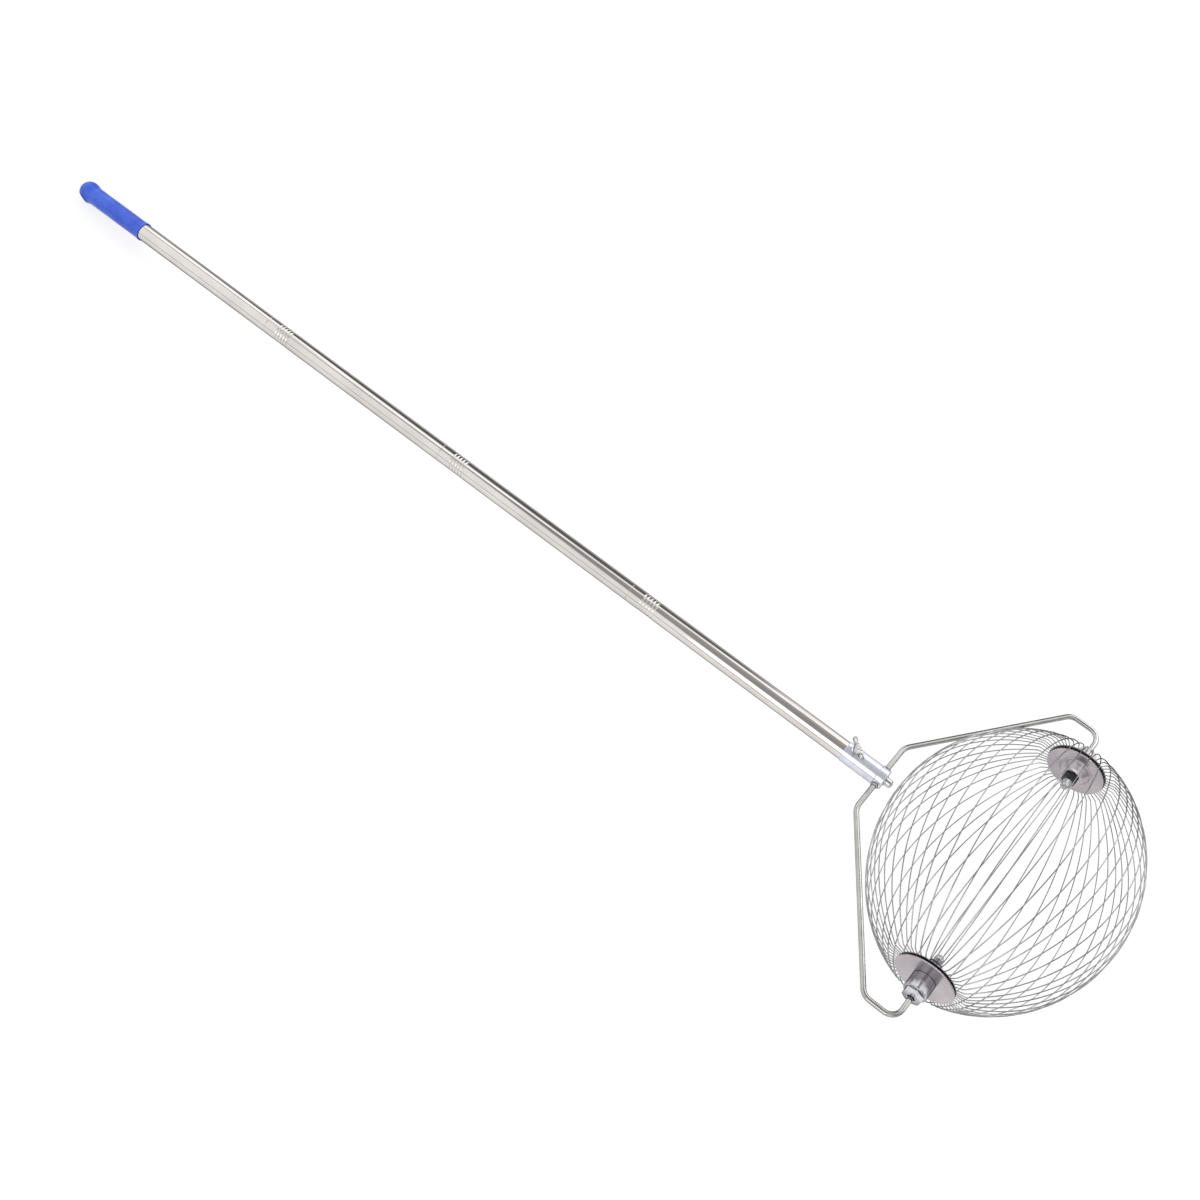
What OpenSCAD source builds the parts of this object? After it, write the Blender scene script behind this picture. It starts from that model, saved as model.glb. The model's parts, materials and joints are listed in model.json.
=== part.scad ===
// Rolling nut gatherer: a ball of spring wires that turns on a bent rod fork,
// carried by a pole of four screwed tube sections with a plastic end grip.
// It lies as it is put down: the ball and the grip's knob touch the ground.
// Lengths are in millimetres and angles in degrees.

/* [Pole] */
// Outer diameter of the pole's tubes
tube_od = 22; // [18:0.5:26]
// Wall of the pole's tubes
tube_wall = 1; // [0.8:0.1:2]
// Length of each of the three upper tube sections
section_len = 287; // [220:1:400]
// Length of the last tube section that shows above the socket
last_section_len = 297; // [220:1:400]

/* [Pole joints] */
// Length of the plug and of the sleeve inside each joint
insert_len = 42; // [40:1:60]
// Diameter of the screwed stud of each joint
stud_d = 14; // [8:0.5:15]
// Reach of the stud into the lower section
stud_reach = 34; // [20:1:38]
// Rings rolled into the tube below each seam
ring_count = 5; // [3:1:6]
// Distance between two rolled rings
ring_pitch = 4.4; // [3:0.1:5]
// Distance from the seam to the first rolled ring
ring_first = 19; // [8:0.5:24]
// Depth of a rolled ring
ring_depth = 0.4; // [0.2:0.05:0.6]
// Radius of a rolled ring's hollow
ring_round = 0.9; // [0.6:0.1:1.4]

/* [Grip] */
// Wall of the grip's sleeve
grip_wall = 0.7; // [0.6:0.1:3]
// Length of tube that the grip covers
grip_cover = 62; // [40:1:120]
// Height of the lip at the grip's open end
grip_lip = 0.4; // [0.2:0.1:1.5]
// Length of the lip at the grip's open end
grip_lip_len = 3; // [2:0.5:8]
// Distance from the tube's end to the tip of the knob
knob_reach = 53; // [40:1:80]
// Diameter of the knob
knob_d = 28; // [27:0.5:40]
// Radius of the hollow between the sleeve and the knob
knob_blend = 20; // [10:1:40]
// Diameter of the hang hole
hang_hole_d = 14.5; // [6:0.5:16]
// Distance of the hang hole from the knob's middle, towards its tip
hang_hole_shift = 2.5; // [0:0.5:3]
// Turn of the grip about the pole, as it was pushed on
grip_turn = -13; // [-45:1:45]

/* [Fork socket] */
// Wall of the socket's sleeve
socket_wall = 0.9; // [0.8:0.1:2.5]
// Length of the socket's sleeve
socket_len = 43; // [36:1:80]
// Length of the end ferrule that shows below the sleeve
ferrule_len = 10.3; // [9.4:0.1:18]
// Distance from the ferrule's free end to the centre of its cross hole
ferrule_hole_up = 6.2; // [4.6:0.1:7]
// Length of the ferrule's spigot inside the sleeve
spigot_len = 14; // [8:0.5:16]
// Diameter of the clamp screw
clamp_d = 6; // [4:0.5:8]
// Diameter of the flange under the clamp screw's head
clamp_flange_d = 10.8; // [10:0.1:16]
// Height of that flange
clamp_flange_h = 1.4; // [1:0.1:3]
// Diameter of the clamp screw's domed head
clamp_dome_d = 9.2; // [7:0.1:9.6]
// Radius of the round end of that head
clamp_dome_r = 5.2; // [4.8:0.1:8]
// Height of that head above its flange
clamp_dome_h = 7.4; // [5:0.1:8]

/* [Wing screw] */
// Distance from the sleeve's upper edge to the wing screw
wing_down = 11.6; // [8:0.2:14]
// Diameter of the wing screw's stud
wing_stud_d = 6; // [4:0.5:6.5]
// Width of the nut on the sleeve
boss_w = 11; // [9:0.5:14]
// Height of the nut on the sleeve
boss_h = 3; // [2.5:0.5:8]
// Span over the two wings
wing_span = 26.5; // [24:0.5:36]
// Diameter of a wing's round end
wing_ear_d = 10; // [7:0.5:12]
// Height of a wing's round end above the hub's foot, to its centre
wing_rise = 6.6; // [6:0.2:12]
// Thickness of a wing
wing_t = 4; // [2:0.1:5]
// Diameter of the wing screw's hub
wing_hub_d = 10; // [9:0.5:12]
// Height of the wing screw's hub
wing_hub_h = 8; // [7:0.5:12]
// Angle of the wings to the pole as the screw is left
wing_turn = -39; // [-90:1:90]

/* [Fork] */
// Diameter of the fork's rod
rod_d = 6; // [5:0.25:7]
// Distance from the ball's axle to the fork's cross rod
fork_reach = 157; // [154:0.1:180]
// Half of the cross rod, to the corner with an arm
cross_half = 48; // [40:1:70]
// Length of the fork's end legs, square to the axle
leg_len = 37.2; // [30:0.1:50]
// Distance from a hub's outer end to the fork's end leg
fork_gap = 29.2; // [16:0.2:40]
// Bend radius between the cross rod and an arm
cross_bend_r = 20; // [10:1:26]
// Bend radius between an arm and an end leg
arm_bend_r = 14; // [8:1:16]
// Bend radius between an end leg and the axle end
end_bend_r = 14; // [8:1:16]
// Length of the rod's ends past their caps
rod_proud = 1; // [0.5:0.5:20]
// Diameter of the collars beside the ferrule
collar_d = 8.5; // [8:0.5:14]
// Length of the collars beside the ferrule
collar_len = 2; // [1.5:0.5:6]
// Diameter of the caps that keep the ball on the rod
retainer_d = 9.5; // [8.5:0.5:15]
// Length of the caps that keep the ball on the rod
retainer_len = 5; // [3:0.5:10]

/* [Wire ball] */
// Radius of the ball at its middle, to the wires' centres
cage_r = 135.7; // [120:0.1:136]
// Half of the distance between the two planes that hold the wires
cage_half = 156; // [146:1:162]
// Diameter of the wires
wire_d = 1.2; // [0.9:0.1:1.6]
// Number of wires
wire_count = 52; // [40:4:60]
// Largest shift of a wire from an even spacing
wire_scatter = 1.1; // [0:0.1:2]
// Radius at which the wires kink out of the plates' plane
kink_r = 45; // [41:0.5:52]
// Length of wire that the ends hold
wire_grip = 6.5; // [4:0.5:8]

/* [End plates] */
// Radius of the outer plates
plate_r = 34; // [32:0.5:38]
// Thickness of the outer plates
plate_t = 1.5; // [1:0.1:2.5]
// Radius of the rolled rim of the outer plates
rim_round = 0.9; // [0.8:0.05:1.3]
// Step from the outer plate's rim to the inner plate's rim
inner_step = 1; // [0.5:0.25:3]
// Thickness of the inner plates
inner_t = 1.2; // [0.8:0.1:2]
// Step from the outer plate's rim to the rim of the black wire holder
holder_step = 0.7; // [0.5:0.1:3]
// Thickness of the wire holder on each side of the wires
holder_wall = 0.8; // [0.6:0.1:1.5]
// Height of the boss pressed into the inner plates
dome_h = 9; // [5:0.5:12]
// Radius of that boss at its foot
dome_foot_r = 18; // [15:0.5:21]
// Radius of that boss at its top
dome_top_r = 12; // [10.5:0.5:14]

/* [Hubs] */
// Diameter of a hub's barrel
barrel_d = 26; // [20:0.5:32]
// Length of a hub's barrel
barrel_len = 18.5; // [10:0.5:22]
// Width of a hub's hexagon
hex_w = 19.5; // [16:0.5:22]
// Length of a hub's hexagon
hex_len = 6.5; // [6.5:0.5:14]
// Diameter of the hole's mouth at the hub's outer end
mouth_d = 8.6; // [7.4:0.1:10]
// Depth of that mouth
mouth_depth = 4; // [2:0.5:6]
// Diameter of a hub's screwed shank
shank_d = 10; // [9:0.5:12]
// Length of shank that stands out of the lock nut
shank_proud = 4; // [2:0.5:12]
// Width of a lock nut
nut_w = 15; // [14:0.5:19]
// Height of a lock nut
nut_h = 7; // [5:0.5:9]

/* [Fits] */
// Radial clearance of a piece that turns on another
running_gap = 0.06; // [0.03:0.01:0.09]
// Radial clearance of a piece that is pushed or screwed into another
slip_gap = 0.08; // [0.05:0.01:0.15]
// Gap between faces that come close but do not touch
face_gap = 0.4; // [0.3:0.05:0.6]

/* [Hidden] */
$fn = 72;
overrun = 1;
knuckle_extra = 0.04;
seam_gap = 0.1;
shoulder_round = 0.6;
hex_sides = 6;
wire_groups = 4;
scatter_waves = 19;

steel = [0.80, 0.80, 0.79];
tube_steel = [0.88, 0.87, 0.85];
satin_alloy = [0.83, 0.83, 0.89];
plate_steel = [0.66, 0.63, 0.65];
wire_steel = [0.55, 0.55, 0.55];
dark_steel = [0.22, 0.22, 0.23];
black_plastic = [0.06, 0.06, 0.07];
grip_blue = [0.29, 0.43, 0.88];

rod_r = rod_d / 2;
wire_r = wire_d / 2;
tube_r = tube_od / 2;
tube_bore_r = tube_r - tube_wall;
socket_bore_r = tube_r + slip_gap;
socket_r = socket_bore_r + socket_wall;

// Places along the pole, measured from the ball's axle towards the grip
ferrule_end_s = fork_reach - ferrule_hole_up;
ferrule_top_s = ferrule_end_s + ferrule_len;
socket_top_s = ferrule_top_s + socket_len;
wing_s = socket_top_s - wing_down;
last_tube_s = ferrule_top_s + spigot_len + face_gap;
seam_s = [for (i = [0:2]) socket_top_s + last_section_len + (2 - i) * section_len];
pole_end_s = seam_s[0] + section_len;
knob_r = knob_d / 2;
knob_s = pole_end_s + knob_reach - knob_r;

// The pole slopes from the ball's axle down to the knob, which lies on the ground
rest_h = cage_r * cos(180 / wire_count) + wire_r;
pole_drop = asin((rest_h - knob_r) / knob_s);
front_x = cage_r * cos(90 / wire_count) + wire_r;
middle_x = (front_x - knob_s * cos(pole_drop) - knob_r) / 2;

// The ball's wires follow one arc between the two kinks
arc_r = (pow(cage_half, 2) + pow(cage_r - kink_r, 2)) / (2 * (cage_r - kink_r));
arc_half_angle = asin(cage_half / arc_r);
wire_in_r = plate_r - wire_grip;

// Places along the axle, measured from the ball's middle
wire_slot = wire_d + 2 * slip_gap;
outer_plate_y = cage_half + wire_slot / 2 + holder_wall;
barrel_y = outer_plate_y + plate_t;
hub_end_y = barrel_y + barrel_len + hex_len;
inner_face_y = cage_half - wire_slot / 2 - holder_wall - inner_t;
dome_y = inner_face_y - dome_h;
nut_y = dome_y - nut_h;
shank_end_y = nut_y - shank_proud;
retainer_y = shank_end_y - face_gap - retainer_len;
rod_end_y = retainer_y - rod_proud;

// The fork's width and bends
fork_half = hub_end_y + fork_gap;
arm_angle = atan2(fork_reach - leg_len, fork_half - cross_half);
arm_len = norm([fork_reach - leg_len, fork_half - cross_half]);
cross_trim = cross_bend_r * tan(arm_angle / 2);
arm_trim = arm_bend_r * tan((90 - arm_angle) / 2);

// Frame of the ball: origin at its middle, axle along Y
module ball_frame() {
  translate([-middle_x, 0, rest_h]) children();
}

// Frame of the pole and fork: as the ball's, sloped so that the pole runs along -X
module pole_frame() {
  ball_frame() rotate([0, -pole_drop, 0]) children();
}

// Stands a piece at a place on the pole, with its own Z axis towards the grip
module along_pole(s) {
  pole_frame() translate([-s, 0, 0]) rotate([0, -90, 0]) children();
}

// Stands a piece on one end of the axle, with its own Z axis outwards
module axle_end(side) {
  ball_frame() mirror([0, side < 0 ? 1 : 0, 0]) rotate([-90, 0, 0]) children();
}

// A hexagonal prism of a width across its flats
module hex_bar(width, length) {
  cylinder(d = width / cos(180 / hex_sides), h = length, $fn = hex_sides);
}

// A tube from z = 0 up
module tube(outer_r, inner_r, length) {
  difference() {
    cylinder(r = outer_r, h = length);
    translate([0, 0, -overrun]) cylinder(r = inner_r, h = length + 2 * overrun);
  }
}

// The hollows rolled into a tube, from its upper end at z = 0 downwards
module rolled_rings() {
  for (i = [0:ring_count - 1])
    translate([0, 0, -ring_first - i * ring_pitch])
      rotate_extrude() translate([tube_r + ring_round - ring_depth, 0]) circle(r = ring_round);
}

// One tube section between two places on the pole
module tube_section(low_s, high_s, ringed) {
  color(tube_steel) along_pole(low_s) difference() {
    tube(tube_r, tube_bore_r, high_s - low_s);
    if (ringed) translate([0, 0, high_s - low_s]) rolled_rings();
  }
}

module tube_section_1() {
  tube_section(seam_s[0], pole_end_s, false);
}

module tube_section_2() {
  tube_section(seam_s[1], seam_s[0], true);
}

module tube_section_3() {
  tube_section(seam_s[2], seam_s[1], true);
}

module tube_section_4() {
  tube_section(last_tube_s, seam_s[2], true);
}

// Plug in the upper tube, with the stud that screws into the tube below
module joint_stud(s) {
  color(steel) along_pole(s) {
    translate([0, 0, slip_gap]) cylinder(r = tube_bore_r - slip_gap, h = insert_len);
    translate([0, 0, -stud_reach]) cylinder(d = stud_d, h = stud_reach + slip_gap);
  }
}

// Sleeve in the lower tube, held by the rolled rings, that takes the stud
module joint_socket(s) {
  color(dark_steel) along_pole(s - insert_len)
    tube(tube_bore_r - slip_gap, stud_d / 2 + slip_gap, insert_len);
}

// The grip's outline on one side, turned about the pole's axis
module grip_outline(sleeve_r, tip_z) {
  knob_z = tip_z - knob_r;
  blend_rise = sqrt(pow(knob_r + knob_blend, 2) - pow(sleeve_r + knob_blend, 2));
  blend_z = knob_z - blend_rise;
  blend_top = blend_rise * knob_blend / (knob_r + knob_blend);
  blend_out = sleeve_r + knob_blend - (sleeve_r + knob_blend) * knob_blend / (knob_r + knob_blend);
  square([sleeve_r, knob_z]);
  square([sleeve_r + grip_lip, grip_lip_len]);
  intersection() {
    translate([0, knob_z]) circle(r = knob_r);
    translate([0, blend_z]) square([knob_d, tip_z]);
  }
  difference() {
    translate([0, blend_z]) square([blend_out, blend_top]);
    translate([sleeve_r + knob_blend, blend_z]) circle(r = knob_blend);
  }
}

module end_grip() {
  sleeve_r = tube_r + slip_gap + grip_wall;
  tip_z = grip_cover + knob_reach;
  knob_z = tip_z - knob_r;
  color(grip_blue) along_pole(pole_end_s - grip_cover) rotate([0, 0, grip_turn]) difference() {
    rotate_extrude() grip_outline(sleeve_r, tip_z);
    translate([0, 0, -overrun]) cylinder(r = tube_r + slip_gap, h = grip_cover + slip_gap + overrun);
    translate([0, 0, knob_z + hang_hole_shift]) rotate([90, 0, 0])
      cylinder(d = hang_hole_d, h = 2 * knob_d, center = true);
  }
}

module fork_socket() {
  color(satin_alloy) along_pole(ferrule_top_s) difference() {
    tube(socket_r, socket_bore_r, socket_len);
    translate([0, 0, socket_len - wing_down]) rotate([0, 90, 0])
      cylinder(d = wing_stud_d + 2 * running_gap, h = socket_r + overrun);
  }
}

module fork_ferrule() {
  screw_r = clamp_d / 2 + slip_gap;
  color(satin_alloy) along_pole(ferrule_end_s) difference() {
    union() {
      cylinder(r = socket_r, h = ferrule_len);
      translate([0, 0, ferrule_len]) cylinder(r = socket_bore_r - slip_gap, h = spigot_len);
    }
    translate([0, 0, ferrule_hole_up]) rotate([90, 0, 0])
      cylinder(r = rod_r + running_gap, h = 2 * socket_r + overrun, center = true);
    translate([0, 0, -overrun]) cylinder(r = screw_r, h = ferrule_hole_up + overrun);
  }
}

module clamp_screw() {
  shank_len = ferrule_hole_up - rod_r - slip_gap;
  color(steel) along_pole(ferrule_end_s) {
    cylinder(d = clamp_d, h = shank_len);
    translate([0, 0, -clamp_flange_h]) cylinder(d = clamp_flange_d, h = clamp_flange_h);
    translate([0, 0, -clamp_flange_h - clamp_dome_h]) intersection() {
      cylinder(d = clamp_dome_d, h = clamp_dome_h + clamp_flange_h / 2);
      translate([0, 0, clamp_dome_r]) sphere(r = clamp_dome_r);
    }
  }
}

// Nut on the sleeve, cut to sit on its round side
module wing_nut_boss() {
  color(steel) pole_frame() translate([-wing_s, 0, 0]) difference() {
    hex_bar(boss_w, socket_r + boss_h);
    rotate([0, 90, 0]) cylinder(r = socket_r + slip_gap, h = 2 * boss_w, center = true);
    cylinder(d = wing_stud_d + 2 * running_gap, h = socket_r + boss_h + overrun);
  }
}

wing_z = socket_r + boss_h + face_gap;
wing_stud_sink = wing_hub_h - wing_t;

module wing_stud() {
  tip_z = tube_r + slip_gap;
  color(steel) pole_frame() translate([-wing_s, 0, tip_z])
    cylinder(d = wing_stud_d, h = wing_z + wing_stud_sink - tip_z);
}

// One wing: a web that leans out from the hub to a round end
module wing_ear() {
  ear_r = wing_ear_d / 2;
  ear_x = wing_span / 2 - ear_r;
  lean = atan2(wing_rise - ear_r, ear_x);
  rotate([90, 0, 0]) linear_extrude(wing_t, center = true) difference() {
    union() {
      translate([ear_x, wing_rise]) circle(r = ear_r);
      polygon([
        [0, 0], [wing_hub_d / 2, 0],
        [ear_x + ear_r * sin(lean), wing_rise - ear_r * cos(lean)],
        [ear_x - ear_r * sin(lean), wing_rise + ear_r * cos(lean)],
        [0, wing_hub_h]
      ]);
    }
    square([wing_stud_d / 2 + running_gap, wing_stud_sink + running_gap]);
  }
}

module wing_head() {
  color(steel) pole_frame() translate([-wing_s, 0, wing_z]) rotate([0, 0, wing_turn]) difference() {
    union() {
      cylinder(d = wing_hub_d, h = wing_hub_h);
      for (half_turn = [0, 180]) rotate([0, 0, half_turn]) wing_ear();
    }
    translate([0, 0, -overrun])
      cylinder(d = wing_stud_d + 2 * running_gap, h = wing_stud_sink + running_gap + overrun);
  }
}

// A round bend to the right of a heading in the XY plane, from a starting point
module right_bend(start, heading, turn, bend_r) {
  translate([start[0] + bend_r * sin(heading), start[1] - bend_r * cos(heading), 0])
    rotate([0, 0, heading + 90 - turn])
      rotate_extrude(angle = turn) translate([bend_r, 0]) circle(r = rod_r);
}

// A straight length of rod along a heading in the XY plane, with a knuckle over each end's seam
module straight_rod(start, heading, length) {
  translate([start[0], start[1], 0]) rotate([0, 90, heading]) {
    translate([0, 0, seam_gap]) cylinder(r = rod_r, h = length - 2 * seam_gap);
    for (z = [0, length]) translate([0, 0, z]) sphere(r = rod_r + knuckle_extra);
  }
}

// One side of the fork, from the end of the cross rod to the rod's tip in the ball
module fork_side() {
  corner = [-fork_reach, cross_half];
  heading = 90 - arm_angle;
  along = [cos(heading), sin(heading)];
  elbow = corner + along * arm_len;
  tip_len = fork_half - end_bend_r - rod_end_y;
  right_bend(corner - [0, cross_trim], 90, arm_angle, cross_bend_r);
  straight_rod(corner + along * cross_trim, heading, arm_len - cross_trim - arm_trim);
  right_bend(elbow - along * arm_trim, heading, heading, arm_bend_r);
  straight_rod(elbow + [arm_trim, 0], 0, leg_len - arm_trim - end_bend_r);
  right_bend([-end_bend_r, fork_half], 0, 90, end_bend_r);
  translate([0, fork_half - end_bend_r, 0]) {
    rotate([90, 0, 0]) sphere(r = rod_r + knuckle_extra);
    rotate([90, 0, 0]) translate([0, 0, seam_gap]) cylinder(r = rod_r, h = tip_len - seam_gap);
  }
}

module fork_rod() {
  cross_len = 2 * (cross_half - cross_trim);
  color(steel) pole_frame() {
    straight_rod([-fork_reach, -cross_len / 2], 90, cross_len);
    for (side = [0, 1]) mirror([0, side, 0]) fork_side();
  }
}

module fork_collars() {
  color(steel) pole_frame() for (side = [0, 1]) mirror([0, side, 0])
    translate([-fork_reach, socket_r + face_gap, 0]) rotate([-90, 0, 0])
      tube(collar_d / 2, rod_r + slip_gap, collar_len);
}

module rod_retainer(side) {
  color(steel) axle_end(side) translate([0, 0, retainer_y])
    tube(retainer_d / 2, rod_r + slip_gap, retainer_len);
}

// One wire in the XY plane: two held ends, two kinks and the arc between them
module cage_wire() {
  translate([cage_r - arc_r, 0, 0]) rotate([0, 0, -arc_half_angle])
    rotate_extrude(angle = 2 * arc_half_angle) translate([arc_r, 0]) circle(r = wire_r);
  for (side = [-1, 1]) {
    translate([wire_in_r, side * cage_half, 0]) rotate([0, 90, 0]) cylinder(r = wire_r, h = kink_r - wire_in_r);
    translate([kink_r, side * cage_half, 0]) rotate([0, 90, 0]) sphere(r = wire_r + knuckle_extra);
  }
}

// A quarter of the ball's wires, a little uneven as sprung wires are
module cage_wires(group) {
  per_group = wire_count / wire_groups;
  color(wire_steel) ball_frame() for (i = [group * per_group:(group + 1) * per_group - 1])
    rotate([0, 90 + (i + 1 / 2) * 360 / wire_count + wire_scatter * sin(180 * scatter_waves * i / (wire_count - 1)), 0])
      cage_wire();
}

// Plate outside the wires, with a rounded rim
module outer_plate(side) {
  color(plate_steel) axle_end(side) translate([0, 0, outer_plate_y]) difference() {
    union() {
      cylinder(r = plate_r - rim_round, h = plate_t);
      translate([0, 0, plate_t - rim_round]) rotate_extrude()
        intersection() {
          translate([plate_r - rim_round, 0]) circle(r = rim_round);
          translate([0, rim_round - plate_t]) square([plate_r, plate_t]);
        }
    }
    translate([0, 0, -overrun]) cylinder(d = shank_d + 2 * slip_gap, h = plate_t + 2 * overrun);
  }
}

// Plate inside the wires, with a hollow boss pressed towards the ball's middle
module inner_plate(side) {
  inner_r = plate_r - inner_step;
  hole_r = shank_d / 2 + slip_gap;
  color(plate_steel) axle_end(side) translate([0, 0, dome_y]) rotate_extrude()
    polygon([
      [hole_r, 0], [dome_top_r - shoulder_round, 0], [dome_top_r, shoulder_round],
      [dome_foot_r - shoulder_round, dome_h - shoulder_round], [dome_foot_r, dome_h], [inner_r, dome_h],
      [inner_r, dome_h + inner_t], [dome_foot_r - inner_t, dome_h + inner_t],
      [dome_top_r - inner_t, inner_t], [hole_r, inner_t]
    ]);
}

// Black disc between the two plates, with a groove round it that the wires' ends sit in
module wire_holder(side) {
  holder_r = plate_r - holder_step;
  holder_h = wire_slot + 2 * holder_wall;
  color(black_plastic) axle_end(side) translate([0, 0, cage_half - holder_h / 2]) difference() {
    tube(holder_r, shank_d / 2 + slip_gap, holder_h);
    translate([0, 0, holder_wall]) tube(plate_r + overrun, wire_in_r - face_gap, wire_slot);
  }
}

// Hub that the ball turns on: hexagon and barrel outside, screwed shank inside
module hub_bush(side) {
  color(steel) axle_end(side) difference() {
    union() {
      translate([0, 0, barrel_y]) cylinder(d = barrel_d, h = barrel_len);
      translate([0, 0, barrel_y + barrel_len]) hex_bar(hex_w, hex_len);
      translate([0, 0, shank_end_y]) cylinder(d = shank_d, h = barrel_y - shank_end_y);
    }
    translate([0, 0, shank_end_y - overrun])
      cylinder(r = rod_r + running_gap, h = hub_end_y - shank_end_y + 2 * overrun);
    translate([0, 0, hub_end_y - mouth_depth]) cylinder(d = mouth_d, h = mouth_depth + overrun);
  }
}

module lock_nut(side) {
  color(dark_steel) axle_end(side) translate([0, 0, nut_y]) difference() {
    hex_bar(nut_w, nut_h);
    translate([0, 0, -overrun]) cylinder(d = shank_d + 2 * slip_gap, h = nut_h + 2 * overrun);
  }
}

end_grip();
tube_section_1();
tube_section_2();
tube_section_3();
tube_section_4();
joint_stud(seam_s[0]);  // joint_stud_1
joint_stud(seam_s[1]);  // joint_stud_2
joint_stud(seam_s[2]);  // joint_stud_3
joint_socket(seam_s[0]);  // joint_socket_1
joint_socket(seam_s[1]);  // joint_socket_2
joint_socket(seam_s[2]);  // joint_socket_3
fork_socket();
fork_ferrule();
clamp_screw();
wing_nut_boss();
wing_stud();
wing_head();
fork_rod();
fork_collars();
rod_retainer(-1);  // rod_retainer_left
rod_retainer(1);  // rod_retainer_right
cage_wires(0);  // cage_wires_1
cage_wires(1);  // cage_wires_2
cage_wires(2);  // cage_wires_3
cage_wires(3);  // cage_wires_4
outer_plate(-1);  // outer_plate_left
outer_plate(1);  // outer_plate_right
inner_plate(-1);  // inner_plate_left
inner_plate(1);  // inner_plate_right
wire_holder(-1);  // wire_holder_left
wire_holder(1);  // wire_holder_right
hub_bush(-1);  // hub_bush_left
hub_bush(1);  // hub_bush_right
lock_nut(-1);  // lock_nut_left
lock_nut(1);  // lock_nut_right
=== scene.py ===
"""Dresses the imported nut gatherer: detailed pieces over the CAD frame, real finishes, light and camera.

Lengths in this file are millimetres unless a name says otherwise. Meshes are made in metres, in the
row frame of the CAD model, with every object at the origin.
"""
from __future__ import annotations

import json
import logging
import math
from collections.abc import Iterable, Sequence
from dataclasses import dataclass, field
from enum import Enum
from typing import Any, NamedTuple

import bmesh
import bpy
from mathutils import Matrix, Vector

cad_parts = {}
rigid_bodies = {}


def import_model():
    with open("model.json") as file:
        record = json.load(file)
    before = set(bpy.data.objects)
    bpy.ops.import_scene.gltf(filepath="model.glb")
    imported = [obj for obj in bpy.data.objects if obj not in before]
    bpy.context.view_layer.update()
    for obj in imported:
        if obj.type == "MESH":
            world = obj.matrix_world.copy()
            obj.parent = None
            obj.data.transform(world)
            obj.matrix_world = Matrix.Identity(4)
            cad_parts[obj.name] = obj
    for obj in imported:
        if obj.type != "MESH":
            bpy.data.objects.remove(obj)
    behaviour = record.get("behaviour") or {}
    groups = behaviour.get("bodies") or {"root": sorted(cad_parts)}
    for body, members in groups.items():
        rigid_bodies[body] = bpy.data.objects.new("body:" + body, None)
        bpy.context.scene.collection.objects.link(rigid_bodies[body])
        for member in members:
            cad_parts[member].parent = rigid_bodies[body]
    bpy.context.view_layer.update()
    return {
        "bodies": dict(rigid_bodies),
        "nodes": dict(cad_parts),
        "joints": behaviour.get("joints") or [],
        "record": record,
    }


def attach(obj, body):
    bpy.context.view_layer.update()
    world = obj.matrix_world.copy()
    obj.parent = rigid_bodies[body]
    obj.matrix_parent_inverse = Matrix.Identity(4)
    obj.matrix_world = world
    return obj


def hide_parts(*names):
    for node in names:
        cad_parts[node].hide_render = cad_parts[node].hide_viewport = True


LOG = logging.getLogger("nut_gatherer")
MM = 0.001
FULL_TURN = 2 * math.pi
QUARTER_TURN = math.pi / 2
UPRIGHT = Matrix.Rotation(QUARTER_TURN, 4, "Y")
IMAGE_SIZE = 1200
WHITE = "#ffffff"
# Points closer than this, in metres, are one point.
WELD_METRES = 1e-7
# Guard points stand off a rounding by shares of its radius and of the flat beside it, or are left out.
GUARD_RADIUS_SHARE = 0.4
GUARD_FLAT_SHARE = 0.3
LEAST_GUARD = 0.02
# A nut's corners are turned off outside its round face, by a cone that reaches past the corners.
NUT_FACE_SHARE = 0.955
NUT_CHAMFER = math.radians(30)
NUT_CORNER_SPARE = 0.2
# The short lengths at the ends of a straight bar: the longest, and the most as a share of the bar.
BAR_END = 0.5
BAR_END_SHARE = 0.25
# Share of a finish's cloudy patches that shows apart from its fine marks.
CLOUD_SHARE = 0.55

Profile = list[tuple[float, float]]
Corner = tuple[float, float, float]


class Side(Enum):
    """The two ends of the ball's axle."""

    LEFT = -1
    RIGHT = 1

    @property
    def word(self) -> str:
        """The side's word in node and piece names."""
        return self.name.lower()


class Texture(Enum):
    """How a finish's surface was made, which gives the direction of its fine marks."""

    GRAIN = "even grain"
    LENGTHWISE = "streaks along the pole"
    TURNED_ON_POLE = "rings about the pole"
    TURNED_ON_AXLE = "rings about the axle"


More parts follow.
